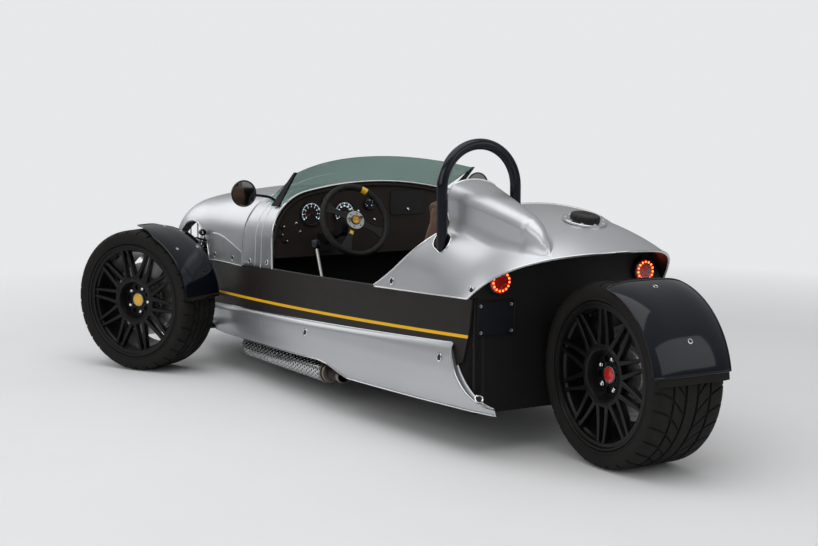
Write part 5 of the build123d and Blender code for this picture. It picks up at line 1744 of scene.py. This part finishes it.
def swollen(name, stock, node, groove):
    """Padded piece: its drawn form is remeshed, swelled as sealed cloth, held in, then given its channels."""
    pad = stock.made(name, BROWN_LEATHER, "chassis", node, sharp=180)
    remesh = pad.modifiers.new("remesh", "REMESH")
    remesh.mode, remesh.voxel_size = "VOXEL", CELL
    settle(pad)
    start = [v.co.copy() for v in pad.data.vertices]
    cloth = pad.modifiers.new("cloth", "CLOTH")
    cloth.settings.use_pressure = True
    cloth.settings.uniform_pressure_force = 4.0
    cloth.settings.effector_weights.gravity = 0.0
    cloth.settings.quality = 5
    cloth.point_cache.frame_start, cloth.point_cache.frame_end = 1, CLOTH_FRAMES
    for frame_number in range(1, CLOTH_FRAMES + 1):
        bpy.context.scene.frame_set(frame_number)
    settle(pad)
    bpy.context.scene.frame_set(1)
    for v, home in zip(pad.data.vertices, start):
        move = v.co - home
        if move.length > SWELL:
            v.co = home + move * (SWELL / move.length)
    for v in pad.data.vertices:
        v.co += groove(v.co / MM + Vector((ORIGIN_STATION, 0, 0)), v.normal.copy()) * MM
    soft = pad.modifiers.new("rounding", "SUBSURF")
    soft.levels = soft.render_levels = 1
    pad.data.polygons.foreach_set("use_smooth", [True] * len(pad.data.polygons))


def settle(obj):
    """Takes what the modifiers make of a piece as its own mesh."""
    graph = bpy.context.evaluated_depsgraph_get()
    mesh = bpy.data.meshes.new_from_object(obj.evaluated_get(graph))
    finishes = list(obj.data.materials)
    obj.modifiers.clear()
    obj.data = mesh
    if not mesh.materials:
        for finish in finishes:
            mesh.materials.append(finish)


def channel(at, spots, depth, half):
    """How far a sewn channel draws the cover in, from the nearest of its lines."""
    near = min(abs(at - spot) for spot in spots)
    return -depth * exp(-(near / half) ** 2)


BACKREST_Y = 217


def build_seat():
    base = Stock()
    rows = []
    for inset, z in ((34, 176), (18, 180), (13, 196), (13, 262), (20, 276), (40, 284)):
        rows.append([(x, y, z + (10 * ((x - 740) / 520) ** 2)) for x, y in
                     rounded_box(740 + inset, 1260 - inset, 48 + inset, 418 - inset, 44)])
    base.closed(rows)

    def seat_channels(p, out):
        top = max(0, out.z)
        lines = channel(p.y, (DRIVER_Y - 106, DRIVER_Y + 106), 9, 7)
        if abs(p.y - DRIVER_Y) < 104:
            lines += channel(p.x, [800 + 62 * k for k in range(8)], 5, 6)
        return Vector((0, 0, lines * top))
    swollen("driver_cushion", base, "seat_cushion", seat_channels)

    back = Stock()
    outline = [(726, 330), (664, 745), (676, 866), (690, 880), (722, 880), (738, 866), (798, 700), (818, 330),
               (806, 322),
               (738, 322)]
    smooth = []
    for k in range(len(outline)):
        a, b = Vector(outline[k]), Vector(outline[(k + 1) % len(outline)])
        smooth += [a.lerp(b, t / 6) for t in range(6)]
    rows = []
    for y, ease in ((66, 26), (62, 14), (66, 6), (86, 0), (150, -2), (217, -4), (284, -2), (348, 0), (368, 6),
                    (372, 14), (368, 26)):
        middle = Vector((738, 600))
        row = []
        for p in smooth:
            inward = (middle - p).normalized() * ease
            row.append((p.x + inward.x * 0.7, y, p.y + inward.y))
        rows.append(row)
    back.closed(rows)

    def back_channels(p, out):
        front = max(0, out.x)
        lines = channel(p.y, (BACKREST_Y - 92, BACKREST_Y + 92), 9, 7)
        if abs(p.y - BACKREST_Y) < 90:
            lines += channel(p.z, [380 + 66 * k for k in range(8)], 5, 6)
        return Vector((lines * front, 0, 0))
    swollen("driver_backrest", back, "seat_back", back_channels)
    welt = Stock()
    line = rounded_box(757, 1243, 64, 402, 46)
    welt.pipe([(x, y, 300 + 6 * ((x - 740) / 520) ** 2) for x, y in [*line, line[0]]], 3.2, 8, ends=False)
    welt.made("cushion_welt", BLACK_LEATHER, "chassis")


def panel_top(x):
    return straight(((350, 554), (955, 537), (1790, 511), (2196, 485)), x)


def build_tub_trim():
    """Beads on the sills, and carpet down the sides of the tub that boxes in the silencer."""
    beads = Stock()
    carpet = Stock()
    for side in (1, -1):
        beads.pipe([beside(x, -4, panel_top(x) + 1, side) for x in spaced(948, 1836, 90)], 4.6, 12)
        rows = []
        for x in spaced(364, 2168, 41):
            wall = half_width(x) - 10
            plain = ((wall, panel_top(x) - 16), (wall - 1, 330), (wall - 2, 216), (wall - 4, 194),
                     (wall - 12, 176),
                     (wall - 66, 161))
            boxed = ((wall, panel_top(x) - 16), (wall - 1, 330), (wall - 3, 222), (384, 206), (368, 194),
                     (366, 161))
            share = min(1, max(0, (x - 1290) / 60))
            line = [Vector(p).lerp(Vector(q), share) for p, q in zip(plain, boxed)]
            fine = [line[0]]
            for p, q in zip(line, line[1:]):
                fine += [p.lerp(q, t / 3) for t in (1, 2, 3)]
            rows.append([(x, side * p.x, p.y) for p in fine])
        carpet.grid(rows)
        edge = half_width(350)
        carpet.grid([[(348, side * y, z) for z in spaced(161, 546, 50)]
                     for y in (edge - 48, edge - 24, edge - 9)])
    beads.made("sill_beads", BLACK_SATIN, "chassis")
    carpet.made("tub_carpet", CARPET, "chassis", wall=(2.4, -1), sharp=50)


build_steering_wheel()
build_facia()
build_controls()
build_seat()
build_tub_trim()


# ---- camera, floor and light

camera_data = bpy.data.cameras.new("camera")
camera_data.sensor_width = 36.0
camera_data.lens = 68.264
camera_data.clip_end = 200.0
camera = bpy.data.objects.new("camera", camera_data)
camera.location = (-5.60444, 3.24508, 1.29035)
camera.rotation_euler = (radians(83.0503), 0.0, radians(-119.9438))
bpy.context.scene.collection.objects.link(camera)
bpy.context.scene.camera = camera
bpy.context.scene.view_settings.view_transform = "Standard"


BACKDROP = (0.8, 0.805, 0.815)
BACKDROP_SEEN = (0.80, 0.81, 0.82)
FLOOR_NEAR, FLOOR_FAR = 2.5, 5.0


def lay_floor():
    mesh = bpy.data.meshes.new("floor")
    side = 60.0
    mesh.from_pydata([(-side, -side, 0), (side, -side, 0), (side, side, 0), (-side, side, 0)], [],
                     [(0, 1, 2, 3)])
    floor = bpy.data.objects.new("floor", mesh)
    bpy.context.scene.collection.objects.link(floor)
    f = Finish("pale floor", BACKDROP, 0.85)
    f.mottled([c * 0.96 for c in BACKDROP], BACKDROP, 2.5, 3)
    reach = f.node("ShaderNodeVectorMath", {"operation": "LENGTH"}, {0: f.point}, 1)
    far = f.ramp((reach - FLOOR_NEAR) / (FLOOR_FAR - FLOOR_NEAR), ((0, 0), (1, 1)))
    plain = f.node("ShaderNodeEmission", None, {"Color": (*BACKDROP_SEEN, 1.0), "Strength": 1.0})
    surface = Signal(f, f.surface.outputs[0])
    eye = f.node("ShaderNodeLightPath")
    mixed = f.node("ShaderNodeMixShader", None, {0: far * eye, 1: surface, 2: plain})
    f.tree.links.new(mixed.socket, f.tree.nodes["Material Output"].inputs["Surface"])
    mesh.materials.append(f.material)


def softbox(name, where, towards, size, power):
    light = bpy.data.lights.new(name, "AREA")
    light.shape = "RECTANGLE"
    light.size, light.size_y = size
    light.energy = power
    lamp = bpy.data.objects.new(name, light)
    lamp.location = where
    lamp.rotation_euler = (Vector(towards) - Vector(where)).to_track_quat("-Z", "Y").to_euler()
    bpy.context.scene.collection.objects.link(lamp)


def light_studio():
    world = bpy.data.worlds.new("studio")
    bpy.context.scene.world = world
    world.use_nodes = True
    tree = world.node_tree
    tree.nodes.clear()
    direction = tree.nodes.new("ShaderNodeTexCoord")
    split = tree.nodes.new("ShaderNodeSeparateXYZ")
    tree.links.new(direction.outputs["Generated"], split.inputs[0])
    shade = tree.nodes.new("ShaderNodeValToRGB")
    for stop, (where, level) in zip([*shade.color_ramp.elements, shade.color_ramp.elements.new(0.5)],
                                    ((0.0, 0.34), (1.0, 0.92), (0.35, 0.66))):
        stop.position = where
        stop.color = (level * 0.985, level * 0.995, level, 1)
    tree.links.new(split.outputs["Z"], shade.inputs[0])
    sky = tree.nodes.new("ShaderNodeBackground")
    sky.inputs["Strength"].default_value = 0.55
    tree.links.new(shade.outputs[0], sky.inputs["Color"])
    seen = tree.nodes.new("ShaderNodeBackground")
    seen.inputs["Color"].default_value = (*BACKDROP_SEEN, 1.0)
    path = tree.nodes.new("ShaderNodeLightPath")
    mix = tree.nodes.new("ShaderNodeMixShader")
    tree.links.new(path.outputs["Is Camera Ray"], mix.inputs[0])
    tree.links.new(sky.outputs[0], mix.inputs[1])
    tree.links.new(seen.outputs[0], mix.inputs[2])
    output = tree.nodes.new("ShaderNodeOutputWorld")
    tree.links.new(mix.outputs[0], output.inputs["Surface"])
    softbox("overhead softbox", (-0.6, 1.2, 5.4), (0.1, 0, 0.5), (7.0, 5.0), 145)
    softbox("left softbox", (-2.4, 5.8, 3.0), (0.1, 0, 0.5), (6.0, 3.2), 84)
    softbox("rear softbox", (-6.4, -2.4, 2.8), (-0.9, 0, 0.5), (4.6, 3.2), 50)
    softbox("front softbox", (5.8, 1.8, 3.0), (1.0, 0, 0.6), (4.6, 3.0), 56)


lay_floor()
light_studio()
